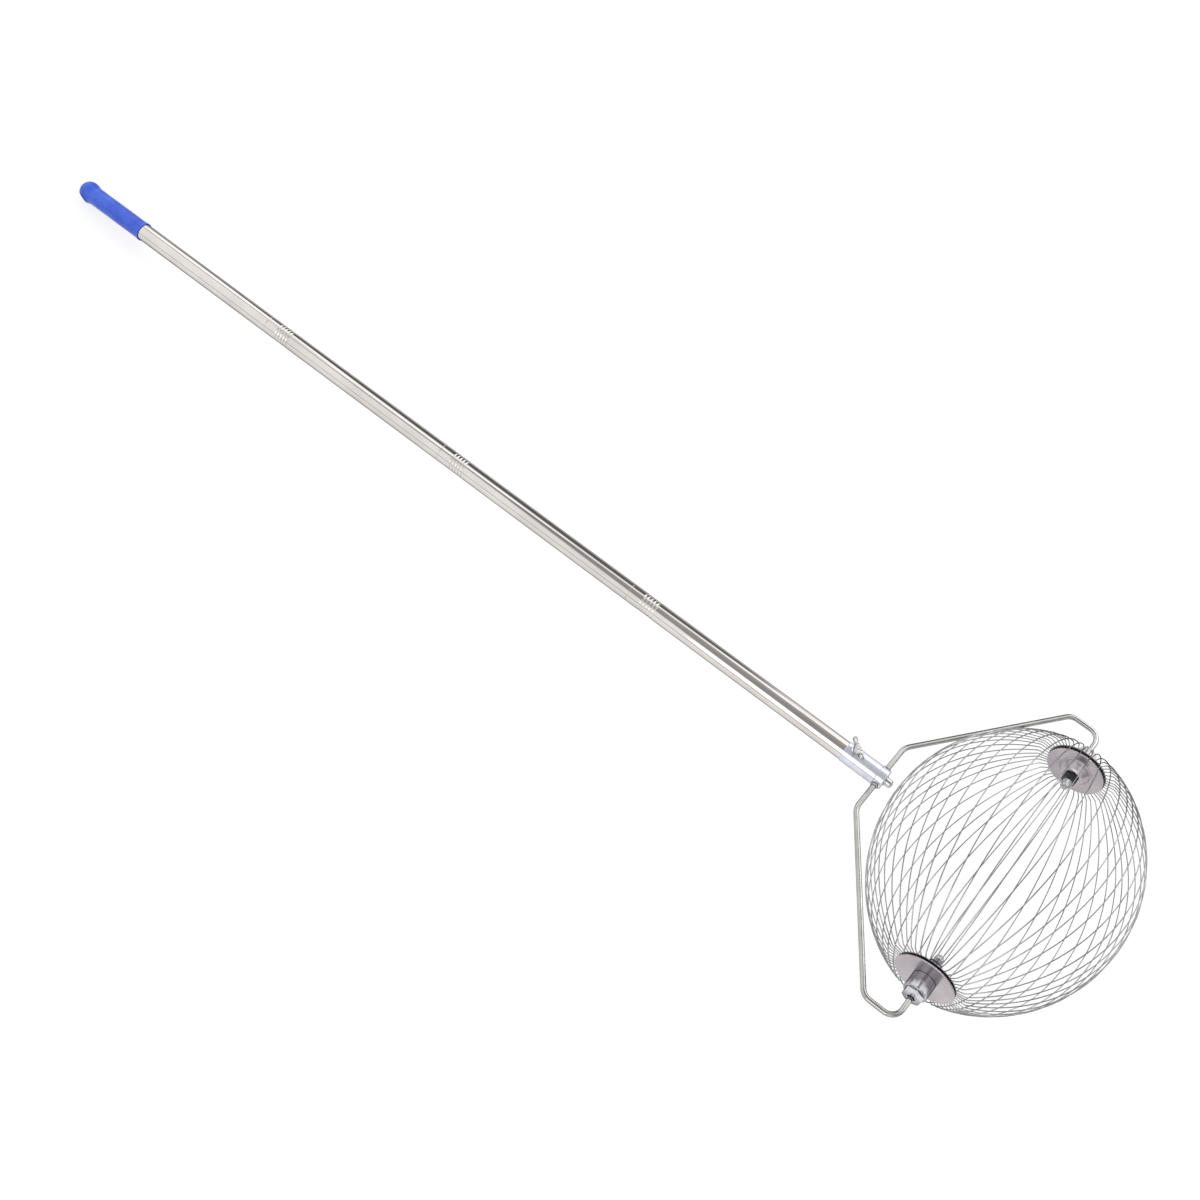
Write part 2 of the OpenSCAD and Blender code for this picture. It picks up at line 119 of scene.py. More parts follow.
def rounded(corners: Sequence[Corner], steps: int = 5) -> Profile:
    """Rounds the corners of an open outline.

    A point is left on each side of a rounding, close to it, so that the flat beside it is shaded flat.

    Args:
        corners: Points as (x, z, radius), where a radius of 0 keeps a corner sharp.
        steps: Short lines that make up each rounding.

    Returns:
        The outline's points.
    """
    points = [Vector((x, z)) for x, z, _ in corners]
    trims = [0.0] * len(corners)
    for i in range(1, len(corners) - 1):
        half = (points[i - 1] - points[i]).angle(points[i + 1] - points[i]) / 2
        trims[i] = corners[i][2] / math.tan(half)
    outline: Profile = []
    for i, (here, trim) in enumerate(zip(points, trims)):
        if trim <= 0:
            outline.append(tuple(here))
            continue
        radius = corners[i][2]
        ways, guards = [], []
        for other in (i - 1, i + 1):
            spare = (points[other] - here).length - trim - trims[other]
            ways.append((points[other] - here).normalized())
            guards.append(min(GUARD_RADIUS_SHARE * radius, GUARD_FLAT_SHARE * spare))
        centre = here + (ways[0] + ways[1]).normalized() * math.hypot(radius, trim)
        first, last = here + ways[0] * trim - centre, here + ways[1] * trim - centre
        if guards[0] > LEAST_GUARD:
            outline.append(tuple(here + ways[0] * (trim + guards[0])))
        for step in range(steps + 1):
            outline.append(tuple(centre + first.lerp(last, step / steps).normalized() * radius))
        if guards[1] > LEAST_GUARD:
            outline.append(tuple(here + ways[1] * (trim + guards[1])))
    return outline


def lathe(outline: Profile, steps: int = 72, closed: bool = False) -> bmesh.types.BMesh:
    """Spins an outline of (radius, height) about Z.

    Args:
        outline: The points to spin.
        steps: Faces in a full turn.
        closed: Whether the last point joins the first, as in a ring.

    Returns:
        A closed mesh with its faces outwards.
    """
    bm = bmesh.new()
    verts = [bm.verts.new((radius * MM, 0.0, height * MM)) for radius, height in outline]
    edges = [bm.edges.new(pair) for pair in zip(verts, verts[1:])]
    if closed:
        edges.append(bm.edges.new((verts[-1], verts[0])))
    bmesh.ops.spin(
        bm, geom=verts + edges, cent=(0, 0, 0), axis=(0, 0, 1), dvec=(0, 0, 0),
        angle=FULL_TURN, steps=steps, use_merge=True, use_duplicate=False,
    )
    bmesh.ops.remove_doubles(bm, verts=bm.verts, dist=WELD_METRES)
    bmesh.ops.recalc_face_normals(bm, faces=bm.faces)
    return bm


def prism(width: float, length: float, sides: int = 6) -> bmesh.types.BMesh:
    """Makes a regular prism on Z from z = 0 up, of a width across its flats."""
    bm = bmesh.new()
    radius = width / 2 / math.cos(math.pi / sides) * MM
    lift = Matrix.Translation((0, 0, length / 2 * MM))
    bmesh.ops.create_cone(
        bm, cap_ends=True, segments=sides, radius1=radius, radius2=radius, depth=length * MM, matrix=lift
    )
    return bm


def moved(bm: bmesh.types.BMesh, place: Matrix) -> bmesh.types.BMesh:
    """Moves a mesh and returns it."""
    bmesh.ops.transform(bm, matrix=place, verts=bm.verts)
    return bm


def joined(meshes: Iterable[bmesh.types.BMesh]) -> bmesh.types.BMesh:
    """Puts several meshes in one and frees them."""
    whole = bmesh.new()
    for bm in meshes:
        part = bpy.data.meshes.new("part")
        bm.to_mesh(part)
        bm.free()
        whole.from_mesh(part)
        bpy.data.meshes.remove(part)
    return whole


def carved(bm: bmesh.types.BMesh, tool: bmesh.types.BMesh, operation: str) -> bmesh.types.BMesh:
    """Cuts one closed mesh with another.

    Args:
        bm: The mesh to keep.
        tool: The mesh that cuts it.
        operation: DIFFERENCE, INTERSECT or UNION.

    Returns:
        The result. Both meshes that went in are freed.
    """
    held = []
    for name, source in (("blank", bm), ("tool", tool)):
        mesh = bpy.data.meshes.new(name)
        source.to_mesh(mesh)
        source.free()
        held.append(bpy.data.objects.new(name, mesh))
        bpy.context.collection.objects.link(held[-1])
    cut = held[0].modifiers.new("cut", "BOOLEAN")
    cut.object, cut.operation, cut.solver = held[1], operation, "EXACT"
    evaluated = held[0].evaluated_get(bpy.context.evaluated_depsgraph_get())
    result = bmesh.new()
    result.from_mesh(evaluated.to_mesh())
    evaluated.to_mesh_clear()
    for thing in held:
        mesh = thing.data
        bpy.data.objects.remove(thing)
        bpy.data.meshes.remove(mesh)
    bmesh.ops.remove_doubles(result, verts=result.verts, dist=WELD_METRES)
    return result


def hexagon(width: float, length: float, low: bool = True, high: bool = True) -> bmesh.types.BMesh:
    """Makes a hexagon bar on Z whose corners are turned off at its ends, as on a nut.

    Args:
        width: Width across the flats.
        length: Length from z = 0 up.
        low: Whether the corners at z = 0 are turned off.
        high: Whether the corners at the upper end are turned off.

    Returns:
        The closed mesh.
    """
    corner = width / math.sqrt(3) + NUT_CORNER_SPARE
    face = width / 2 * NUT_FACE_SHARE
    rise = (corner - face) * math.tan(NUT_CHAMFER)
    outline: Profile = [(0, 0)]
    outline += [(face, 0), (corner, rise)] if low else [(corner, 0)]
    outline += [(corner, length - rise), (face, length)] if high else [(corner, length)]
    outline.append((0, length))
    return carved(prism(width, length), lathe(outline, steps=96), "INTERSECT")


class Sweep:
    """A round bar that is pushed along straight runs and bends, as a bending machine does."""

    def __init__(self, radius: float, place: Matrix, segments: int) -> None:
        """Starts the bar with its first end face.

        Args:
            radius: Radius of the bar.
            place: Frame of the end face, whose Z axis is the bar's direction.
            segments: Sides of the bar's section.
        """
        self.bm = bmesh.new()
        bmesh.ops.create_circle(self.bm, cap_ends=True, segments=segments, radius=radius * MM, matrix=place)
        self.ring: list[bmesh.types.BMEdge] = list(self.bm.edges)

    def straight(self, run: Vector) -> None:
        """Pushes the bar on by a run, with a short length at each end to shade it straight."""
        short = run.normalized() * min(BAR_END, run.length * BAR_END_SHARE)
        for step in (short, run - 2 * short, short):
            grown = bmesh.ops.extrude_edge_only(self.bm, edges=self.ring)["geom"]
            verts = [item for item in grown if isinstance(item, bmesh.types.BMVert)]
            fresh = set(verts)
            bmesh.ops.translate(self.bm, verts=verts, vec=step * MM)
            self.ring = [
                item for item in grown
                if isinstance(item, bmesh.types.BMEdge) and fresh.issuperset(item.verts)
            ]

    def bend(self, centre: Vector, axis: Vector, angle: float, steps: int) -> None:
        """Bends the bar on round a centre.

        Args:
            centre: Centre of the bend, in millimetres.
            axis: Axis of the bend.
            angle: Turn in radians, by the right-hand rule.
            steps: Lengths that make up the bend.
        """
        verts = list({vert for edge in self.ring for vert in edge.verts})
        last = bmesh.ops.spin(
            self.bm, geom=verts + self.ring, cent=centre * MM, axis=axis, dvec=(0, 0, 0),
            angle=angle, steps=steps, use_merge=False, use_duplicate=False,
        )["geom_last"]
        self.ring = [item for item in last if isinstance(item, bmesh.types.BMEdge)]

    def ended(self, chamfer: float = 0.0) -> bmesh.types.BMesh:
        """Closes the bar's last end.

        Args:
            chamfer: Size of the chamfer on the last end.

        Returns:
            The closed mesh with its faces outwards.
        """
        bmesh.ops.contextual_create(self.bm, geom=self.ring)
        if chamfer > 0:
            bmesh.ops.bevel(
                self.bm, geom=self.ring, offset=chamfer * MM, affect="EDGES", segments=3, profile=0.5,
                material=-1,
            )
        bmesh.ops.recalc_face_normals(self.bm, faces=self.bm.faces)
        return self.bm


def linear(code: str) -> tuple[float, float, float, float]:
    """Turns an sRGB hex colour into the linear colour that a shader takes."""
    parts = [int(code[i:i + 2], 16) / 255 for i in (1, 3, 5)]
    red, green, blue = (c / 12.92 if c <= 0.04045 else ((c + 0.055) / 1.055) ** 2.4 for c in parts)
    return red, green, blue, 1.0


def add_node(
    tree: bpy.types.NodeTree, kind: str, inputs: dict[Any, Any] | None = None, **settings: Any,
) -> bpy.types.Node:
    """Adds a shader node.

    Args:
        tree: The node tree.
        kind: The node's type name.
        inputs: Socket names or numbers, each with a value or with an output socket to link.
        settings: Properties of the node itself.

    Returns:
        The node.
    """
    node = tree.nodes.new(kind)
    for name, value in settings.items():
        setattr(node, name, value)
    for key, value in (inputs or {}).items():
        if isinstance(value, bpy.types.NodeSocket):
            tree.links.new(value, node.inputs[key])
        else:
            node.inputs[key].default_value = value
    return node


@dataclass(frozen=True)
class Finish:
    """A real material and how its surface was made.

    Attributes:
        name: Common name of the material and its finish.
        texture: Direction of the fine marks.
        dark: sRGB colour of its darker places.
        light: sRGB colour of its lighter places.
        roughness: Lowest and highest roughness.
        mark: Width of the fine marks.
        patch: Size of the cloudy patches of tone.
        relief: Depth of the fine marks.
        run: Length of the streaks of a finish that was drawn or polished lengthwise.
        metallic: 1 for a bare metal.
        edge: sRGB colour that tints a metal seen at a glancing angle.
    """

    name: str
    texture: Texture
    dark: str
    light: str
    roughness: tuple[float, float]
    mark: float
    patch: float
    relief: float
    run: float = 0.0
    metallic: float = 1.0
    edge: str = WHITE

    def built(self, stance: Stance) -> bpy.types.Material:
        """Makes the finish as a material.

        Args:
            stance: Where the tool lies, which gives the pole's and the axle's directions.

        Returns:
            The material.
        """
        material = bpy.data.materials.new(self.name)
        material.use_nodes = True
        tree = material.node_tree
        tree.nodes.clear()
        where = add_node(tree, "ShaderNodeTexCoord").outputs["Object"]
        marks = self._marks(tree, where, stance)
        clouds = add_node(tree, "ShaderNodeTexNoise", {
            "Vector": where, "Scale": 1 / (self.patch * MM), "Detail": 3.0, "Roughness": 0.55,
        }).outputs["Fac"]
        spread = add_node(tree, "ShaderNodeMapRange", {
            "Value": clouds, "From Min": 0.3, "From Max": 0.7,
        }).outputs["Result"]
        plain = add_node(tree, "ShaderNodeMath", {0: spread, 1: CLOUD_SHARE}, operation="MULTIPLY")
        tone = add_node(tree, "ShaderNodeMath", {
            0: marks, 1: spread, 2: plain.outputs[0],
        }, operation="MULTIPLY_ADD").outputs[0]
        colour = add_node(tree, "ShaderNodeMix", {"Factor": tone}, data_type="RGBA")
        colour.inputs["A"].default_value = linear(self.dark)
        colour.inputs["B"].default_value = linear(self.light)
        rough = add_node(tree, "ShaderNodeMapRange", {
            "Value": tone, "To Min": self.roughness[1], "To Max": self.roughness[0],
        })
        bump = add_node(tree, "ShaderNodeBump", {
            "Height": marks, "Distance": self.relief * MM, "Strength": 1.0,
        })
        shader = add_node(tree, "ShaderNodeBsdfPrincipled", {
            "Base Color": colour.outputs["Result"], "Roughness": rough.outputs["Result"],
            "Metallic": self.metallic, "Normal": bump.outputs["Normal"], "Specular Tint": linear(self.edge),
        })
        add_node(tree, "ShaderNodeOutputMaterial", {"Surface": shader.outputs["BSDF"]})
        return material

    def _marks(
        self, tree: bpy.types.NodeTree, where: bpy.types.NodeSocket, stance: Stance,
    ) -> bpy.types.NodeSocket:
        """Draws the finish's fine marks.

        Args:
            tree: The node tree.
            where: Object coordinates.
            stance: Where the tool lies.

        Returns:
            The marks, about 0 to 1.
        """
        on_axle = self.texture is Texture.TURNED_ON_AXLE
        along = self.run if self.texture is Texture.LENGTHWISE else self.mark
        frame = add_node(tree, "ShaderNodeMapping", {
            "Vector": where, "Location": stance.ball,
            "Rotation": (0.0, 0.0 if on_axle else -stance.drop, 0.0),
            "Scale": (along * MM, self.mark * MM, self.mark * MM),
        }, vector_type="TEXTURE").outputs["Vector"]
        if self.texture in (Texture.GRAIN, Texture.LENGTHWISE):
            return add_node(tree, "ShaderNodeTexNoise", {
                "Vector": frame, "Scale": 1.0, "Detail": 4.0, "Roughness": 0.6,
            }).outputs["Fac"]
        axes = add_node(tree, "ShaderNodeSeparateXYZ", {"Vector": frame}).outputs
        flat = add_node(tree, "ShaderNodeCombineXYZ", {
            "X": axes["X"] if on_axle else 0.0, "Y": 0.0 if on_axle else axes["Y"], "Z": axes["Z"],
        }).outputs["Vector"]
        radius = add_node(tree, "ShaderNodeVectorMath", {0: flat}, operation="LENGTH").outputs["Value"]
        length = axes["Y"] if on_axle else axes["X"]
        rings = add_node(tree, "ShaderNodeMath", {0: radius, 1: length}, operation="ADD").outputs[0]
        return add_node(tree, "ShaderNodeTexNoise", {
            "W": rings, "Scale": 1.0, "Detail": 3.0, "Roughness": 0.7,
        }, noise_dimensions="1D").outputs["Fac"]


class Finishes(Enum):
    """The finishes of the tool's pieces."""

    # Drawn stainless tube, polished lengthwise: near mirror, with faint straight streaks.
    POLISHED_STAINLESS = Finish(
        "polished_stainless_tube", Texture.LENGTHWISE, "#d2cdc9", "#dfdbd7",
        roughness=(0.05, 0.11), mark=0.9, run=90.0, patch=60.0, relief=0.001, edge="#5c5a58",
    )
    # Turned aluminium, left satin: pale and slightly blue, with fine rings round it.
    SATIN_ALUMINIUM = Finish(
        "satin_aluminium", Texture.TURNED_ON_POLE, "#d4d6e4", "#e8eaf4",
        roughness=(0.12, 0.18), mark=0.7, patch=14.0, relief=0.002, metallic=0.6, edge="#8c8c92",
    )
    # Moulded polypropylene with a fine spark-eroded grain: soft highlights on a strong blue.
    BLUE_PLASTIC = Finish(
        "moulded_blue_polypropylene", Texture.GRAIN, "#2c50cc", "#3e68e0",
        roughness=(0.24, 0.36), mark=0.7, patch=18.0, relief=0.02, metallic=0.0,
    )
    # Hard drawn spring wire: grey, smooth, with slight changes of tone along it.
    SPRING_WIRE = Finish(
        "drawn_spring_wire", Texture.GRAIN, "#8a8a8b", "#b6b6b6",
        roughness=(0.10, 0.20), mark=3.0, patch=22.0, relief=0.004, edge="#6e6e6e",
    )
    # Bent mild steel rod, nickel plated: bright grey with soft streaks of gloss.
    PLATED_ROD = Finish(
        "nickel_plated_rod", Texture.GRAIN, "#a6a5a3", "#c0bfbd",
        roughness=(0.06, 0.13), mark=2.2, patch=30.0, relief=0.003, edge="#5c5a58",
    )
    # Pressed steel with a satin nickel skin: mauve grey, with faint rings from polishing on a lathe.
    PRESSED_PLATE = Finish(
        "satin_pressed_steel", Texture.TURNED_ON_AXLE, "#aaa3a7", "#bdb6ba",
        roughness=(0.22, 0.32), mark=1.1, patch=30.0, relief=0.004,
    )
    # Bright zinc plate over turned steel: sharp highlights and faint tool rings.
    BRIGHT_PLATE = Finish(
        "bright_zinc_plate", Texture.TURNED_ON_AXLE, "#a8a6aa", "#c6c5ca",
        roughness=(0.07, 0.14), mark=0.8, patch=9.0, relief=0.002, edge="#77757a",
    )
    # Bright zinc plate over a casting: sharp highlights on a slightly uneven skin.
    BRIGHT_CASTING = Finish(
        "bright_zinc_casting", Texture.GRAIN, "#bcbcbe", "#dededf",
        roughness=(0.12, 0.24), mark=1.4, patch=6.0, relief=0.012, edge="#6a6a6a",
    )
    # Chemically blackened steel with faint tool rings: its dark grey is partly painted shade, standing for
    # the dark reflections in the nut's facets.
    BLACKENED_STEEL = Finish(
        "blackened_steel", Texture.TURNED_ON_AXLE, "#343435", "#565557",
        roughness=(0.22, 0.34), mark=0.7, patch=5.0, relief=0.006,
    )
    # Moulded black nylon with a dull sheen: its deep black is painted shade, standing for the shadowed slot
    # between the plates.
    BLACK_NYLON = Finish(
        "moulded_black_nylon", Texture.GRAIN, "#080809", "#121214",
        roughness=(0.45, 0.60), mark=0.6, patch=9.0, relief=0.01, metallic=0.0,
    )
    # Turned aluminium of the plugs and sleeves inside the pole.
    TURNED_INSERT = Finish(
        "turned_aluminium", Texture.TURNED_ON_POLE, "#8f9093", "#b0b1b4",
        roughness=(0.30, 0.42), mark=0.6, patch=10.0, relief=0.006,
    )


@dataclass(frozen=True)
class Layout:
    """Driving sizes of the tool, and the places along its pole and its axle that follow from them.

    Places on the pole count from the ball's axle towards the grip, and places on the axle from the
    ball's middle outwards.
    """

    reach: float
    ferrule_hole_up: float = 6.2
    ferrule: float = 10.3
    spigot: float = 14.0
    socket: float = 43.0
    wing_down: float = 11.6
    last_section: float = 297.0
    section: float = 287.0
    grip_cover: float = 62.0
    ball_half: float = 156.0
    wire_slot: float = 1.36
    # The wire holder's walls between the wires and the plates are black, as painted shade in the slot.
    holder_wall: float = 0.8
    plate: float = 1.5
    inner_plate: float = 1.2
    dome: float = 9.0
    nut: float = 7.0
    shank_proud: float = 4.0
    barrel: float = 18.5
    hexagon: float = 6.5
    fork_gap: float = 29.2
    cap: float = 5.0
    rod_proud: float = 1.0
    face_gap: float = 0.4

    @property
    def ferrule_end(self) -> float:
        """The ferrule's free end."""
        return self.reach - self.ferrule_hole_up

    @property
    def socket_foot(self) -> float:
        """The sleeve's lower edge, on the ferrule."""
        return self.ferrule_end + self.ferrule

    @property
    def socket_top(self) -> float:
        """The sleeve's upper edge."""
        return self.socket_foot + self.socket

    @property
    def wing(self) -> float:
        """The wing screw's axis."""
        return self.socket_top - self.wing_down

    @property
    def tube_ends(self) -> tuple[float, ...]:
        """The ends of the four tube sections, from the grip's down."""
        seams = [self.socket_top + self.last_section + i * self.section for i in (3, 2, 1, 0)]
        return (*seams, self.socket_foot + self.spigot + self.face_gap)

    @property
    def grip_end(self) -> float:
        """The grip's open end."""
        return self.tube_ends[0] - self.grip_cover

    @property
    def plate_foot(self) -> float:
        """The outer plate's inner face."""
        return self.ball_half + self.wire_slot / 2 + self.holder_wall

    @property
    def hub_foot(self) -> float:
        """The foot of a hub's barrel, on the outer plate."""
        return self.plate_foot + self.plate

    @property
    def dome_face(self) -> float:
        """The top of the boss in the inner plate."""
        return self.ball_half - self.wire_slot / 2 - self.holder_wall - self.inner_plate - self.dome

    @property
    def shank_end(self) -> float:
        """The inner end of a hub's shank."""
        return self.dome_face - self.nut - self.shank_proud

    @property
    def fork_half(self) -> float:
        """The fork's end legs."""
        return self.hub_foot + self.barrel + self.hexagon + self.fork_gap

    @property
    def rod_tip(self) -> float:
        """The rod's tips inside the ball."""
        return self.shank_end - self.face_gap - self.cap - self.rod_proud


@dataclass(frozen=True)
class Stance:
    """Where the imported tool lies.

    Attributes:
        ball: Centre of the wire ball, in metres.
        drop: Slope of the pole, from the ball down to the grip.
        layout: Places along the pole and the axle.
    """

    ball: Vector
    drop: float
    layout: Layout

    @classmethod
    def of_record(cls, record: dict[str, Any]) -> Stance:
        """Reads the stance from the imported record's joints."""
        joints = record["behaviour"]["joints"]
        places = {joint["name"]: Vector(joint["pos_m"]) for joint in joints if "pos_m" in joint}
        reach = places["cage_spin"] - places["fork_tilt"]
        return cls(places["cage_spin"], math.atan2(reach.z, reach.x), Layout(reach.length / MM))

    def tool(self) -> Matrix:
        """The tool's own frame: centre of the ball, X away from the pole, Y along the axle."""
        return Matrix.Translation(self.ball) @ Matrix.Rotation(-self.drop, 4, "Y")

    def on_pole(self, place: float) -> Matrix:
        """A frame on the pole, at a distance from the axle, with Z towards the grip."""
        shift = Matrix.Translation((-place * MM, 0, 0))
        return self.tool() @ shift @ Matrix.Rotation(-QUARTER_TURN, 4, "Y")

    def on_axle(self, side: Side) -> Matrix:
        """A frame at the ball's centre with Z along the axle, out of one side."""
        return Matrix.Translation(self.ball) @ Matrix.Rotation(-side.value * QUARTER_TURN, 4, "X")


@dataclass
class Workshop:
    """Turns finished meshes into pieces that ride on the frame.

    Attributes:
        stance: Where the tool lies.
        nodes: The CAD nodes' objects.
        materials: Materials made so far.
    """

    stance: Stance
    nodes: dict[str, bpy.types.Object]
    materials: dict[Finishes, bpy.types.Material] = field(default_factory=dict)

    def material(self, finish: Finishes) -> bpy.types.Material:
        """Gives a finish's material, made on its first use."""
        if finish not in self.materials:
            self.materials[finish] = finish.value.built(self.stance)
        return self.materials[finish]

    def piece(
        self, name: str, bm: bmesh.types.BMesh, finish: Finishes, body: str,
        replaces: Sequence[str], crease: float = 32.0,
    ) -> bpy.types.Object:
        """Makes a mesh a piece of the tool.

        Args:
            name: The piece's name.
            bm: Its mesh, in place, which is freed.
            finish: Its finish.
            body: The CAD body that it rides on.
            replaces: The CAD nodes that it stands for.
            crease: Edges sharper than this many degrees stay sharp.

        Returns:
            The piece.
        """
        mesh = bpy.data.meshes.new(name)
        bm.to_mesh(mesh)
        bm.free()
        mesh.shade_smooth()
        mesh.set_sharp_from_angle(angle=math.radians(crease))
        mesh.materials.append(self.material(finish))
        made = bpy.data.objects.new(name, mesh)
        bpy.context.collection.objects.link(made)
        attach(made, body)
        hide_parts(*replaces)
        LOG.info("piece %s: %d faces, rides on %s", name, len(mesh.polygons), body)
        return made

    def dress(self, node: str, finish: Finishes) -> None:
        """Gives a CAD node that stays in view a finish."""
        slots = self.nodes[node].data.materials
        slots.clear()
        slots.append(self.material(finish))
        LOG.info("node %s keeps its shape", node)


@dataclass
class Pole:
    """The four tube sections and what joins them, measured from the ball's axle."""

    tube_radius: float = 11.0
    tube_bore: float = 10.0
    edge: float = 0.35
    seam_gap: float = 0.12
    ring_first: float = 19.0
    ring_pitch: float = 4.4
    ring_count: int = 5
    ring_depth: float = 0.45
    ring_width: float = 2.5
    ring_floor_share: float = 0.45
    ring_round: float = 0.5

    def build(self, shop: Workshop) -> None:
        """Builds the tube sections and dresses the inserts inside them."""
        ends = shop.stance.layout.tube_ends
        for index, (high, low) in enumerate(zip(ends, ends[1:]), start=1):
            bm = self._section(high - low - self.seam_gap, ringed=index > 1)
            moved(bm, shop.stance.on_pole(low + self.seam_gap / 2))
            node = f"tube_section_{index}"
            shop.piece(f"pole_tube_{index}", bm, Finishes.POLISHED_STAINLESS, "pole", [node])
        for index in range(1, len(ends) - 1):
            shop.dress(f"joint_stud_{index}", Finishes.TURNED_INSERT)
            shop.dress(f"joint_socket_{index}", Finishes.TURNED_INSERT)

    def _section(self, length: float, ringed: bool) -> bmesh.types.BMesh:
        """Spins one tube with its bore, eased ends and rolled rings."""
        outer, half, soft = self.tube_radius, self.ring_width / 2, self.ring_round
        floor, low = half * self.ring_floor_share, self.tube_radius - self.ring_depth
        corners: list[Corner] = [(self.tube_bore, 0, 0), (outer, 0, self.edge)]
        if ringed:
            centres = [length - self.ring_first - self.ring_pitch * i for i in range(self.ring_count)]
            for centre in reversed(centres):
                corners += [
                    (outer, centre - half, soft), (low, centre - floor, soft),
                    (low, centre + floor, soft), (outer, centre + half, soft),
                ]
        corners += [(outer, length, self.edge), (self.tube_bore, length, 0)]
        return lathe(rounded(corners, steps=3), steps=96, closed=True)


@dataclass
class Grip:
    """The moulded grip with its knob and hang hole, from its open end at z = 0."""

    turn: float = -13.0
    bore: float = 11.05
    bore_ease: float = 0.3
    bore_ease_depth: float = 0.4
    sleeve: float = 11.78
    sleeve_round: float = 0.3
    lip: float = 12.2
    lip_length: float = 3.0
    lip_fall: float = 0.7
    lip_end_round: float = 0.35
    lip_back_round: float = 0.4
    length: float = 115.0
    knob: float = 14.0
    knob_steps: int = 44
    blend: float = 20.0
    blend_steps: int = 14
    hole: float = 7.25
    hole_shift: float = 2.5
    hole_rim: float = 1.0
    hole_rim_steps: int = 6
    hole_rim_step: float = 15.0
    cutter_flare: float = 0.4
    cutter_lift: float = 0.3
    cutter_overrun: float = 4.0

    def build(self, shop: Workshop) -> None:
        """Spins the grip and cuts the hang hole."""
        layout = shop.stance.layout
        bm = lathe(self._outline(layout.grip_cover), steps=120)
        middle = self.length - self.knob + self.hole_shift
        hole = moved(self._hole(), Matrix.Translation((0, 0, middle * MM)))
        roll = Matrix.Rotation(math.radians(self.turn), 4, "Z")
        bm = moved(carved(bm, hole, "DIFFERENCE"), shop.stance.on_pole(layout.grip_end) @ roll)
        shop.piece("grip_moulding", bm, Finishes.BLUE_PLASTIC, "pole", ["end_grip"], crease=40)

    def _outline(self, depth: float) -> Profile:
        """The grip's half section, from the floor of a bore of some depth round to the tip."""
        centre = self.length - self.knob
        reach = self.knob + self.blend
        rise = math.sqrt(reach**2 - (self.sleeve + self.blend) ** 2)
        outline = rounded([
            (0, depth, 0), (self.bore, depth, 0), (self.bore, self.bore_ease_depth, 0),
            (self.bore + self.bore_ease, 0, 0), (self.lip, 0, self.lip_end_round),
            (self.lip, self.lip_length, self.lip_back_round),
            (self.sleeve, self.lip_length + self.lip_fall, self.sleeve_round),
            (self.sleeve, centre - rise, 0),
        ], steps=4)
        meet = math.asin(rise / reach)
        for step in range(1, self.blend_steps + 1):
            angle = meet * step / self.blend_steps
            outline.append((
                self.sleeve + self.blend - self.blend * math.cos(angle),
                centre - rise + self.blend * math.sin(angle),
            ))
        for step in range(1, self.knob_steps):
            angle = -meet + (QUARTER_TURN + meet) * step / self.knob_steps
            outline.append((self.knob * math.cos(angle), centre + self.knob * math.sin(angle)))
        outline.append((0, self.length))
        return outline

    def _hole(self) -> bmesh.types.BMesh:
        """The hang hole as a solid along Y, whose rounded mouths follow the knob's surface."""
        mouth, rim = self.hole + self.hole_rim, self.hole_rim
        wide, far = mouth + self.cutter_flare, self.knob + self.cutter_overrun
        half: Profile = [(self.hole, 0)]
        for step in range(self.hole_rim_steps):
            angle = QUARTER_TURN - math.radians(self.hole_rim_step * step)
            half.append((mouth - rim * math.sin(angle), self.knob - rim * (1 - math.cos(angle))))
        half += [(wide, self.knob + self.cutter_lift), (wide, far), (0, far)]
        bm = lathe([(radius, -height) for radius, height in reversed(half)] + half[1:], steps=64)
        for vert in bm.verts:
            if abs(vert.co.z) > self.knob / 2 * MM:
                off = math.hypot(vert.co.x / MM, vert.co.y / MM + self.hole_shift)
                vert.co.z += math.copysign(math.sqrt(self.knob**2 - off**2) - self.knob, vert.co.z) * MM
        return moved(bm, Matrix.Rotation(QUARTER_TURN, 4, "X"))


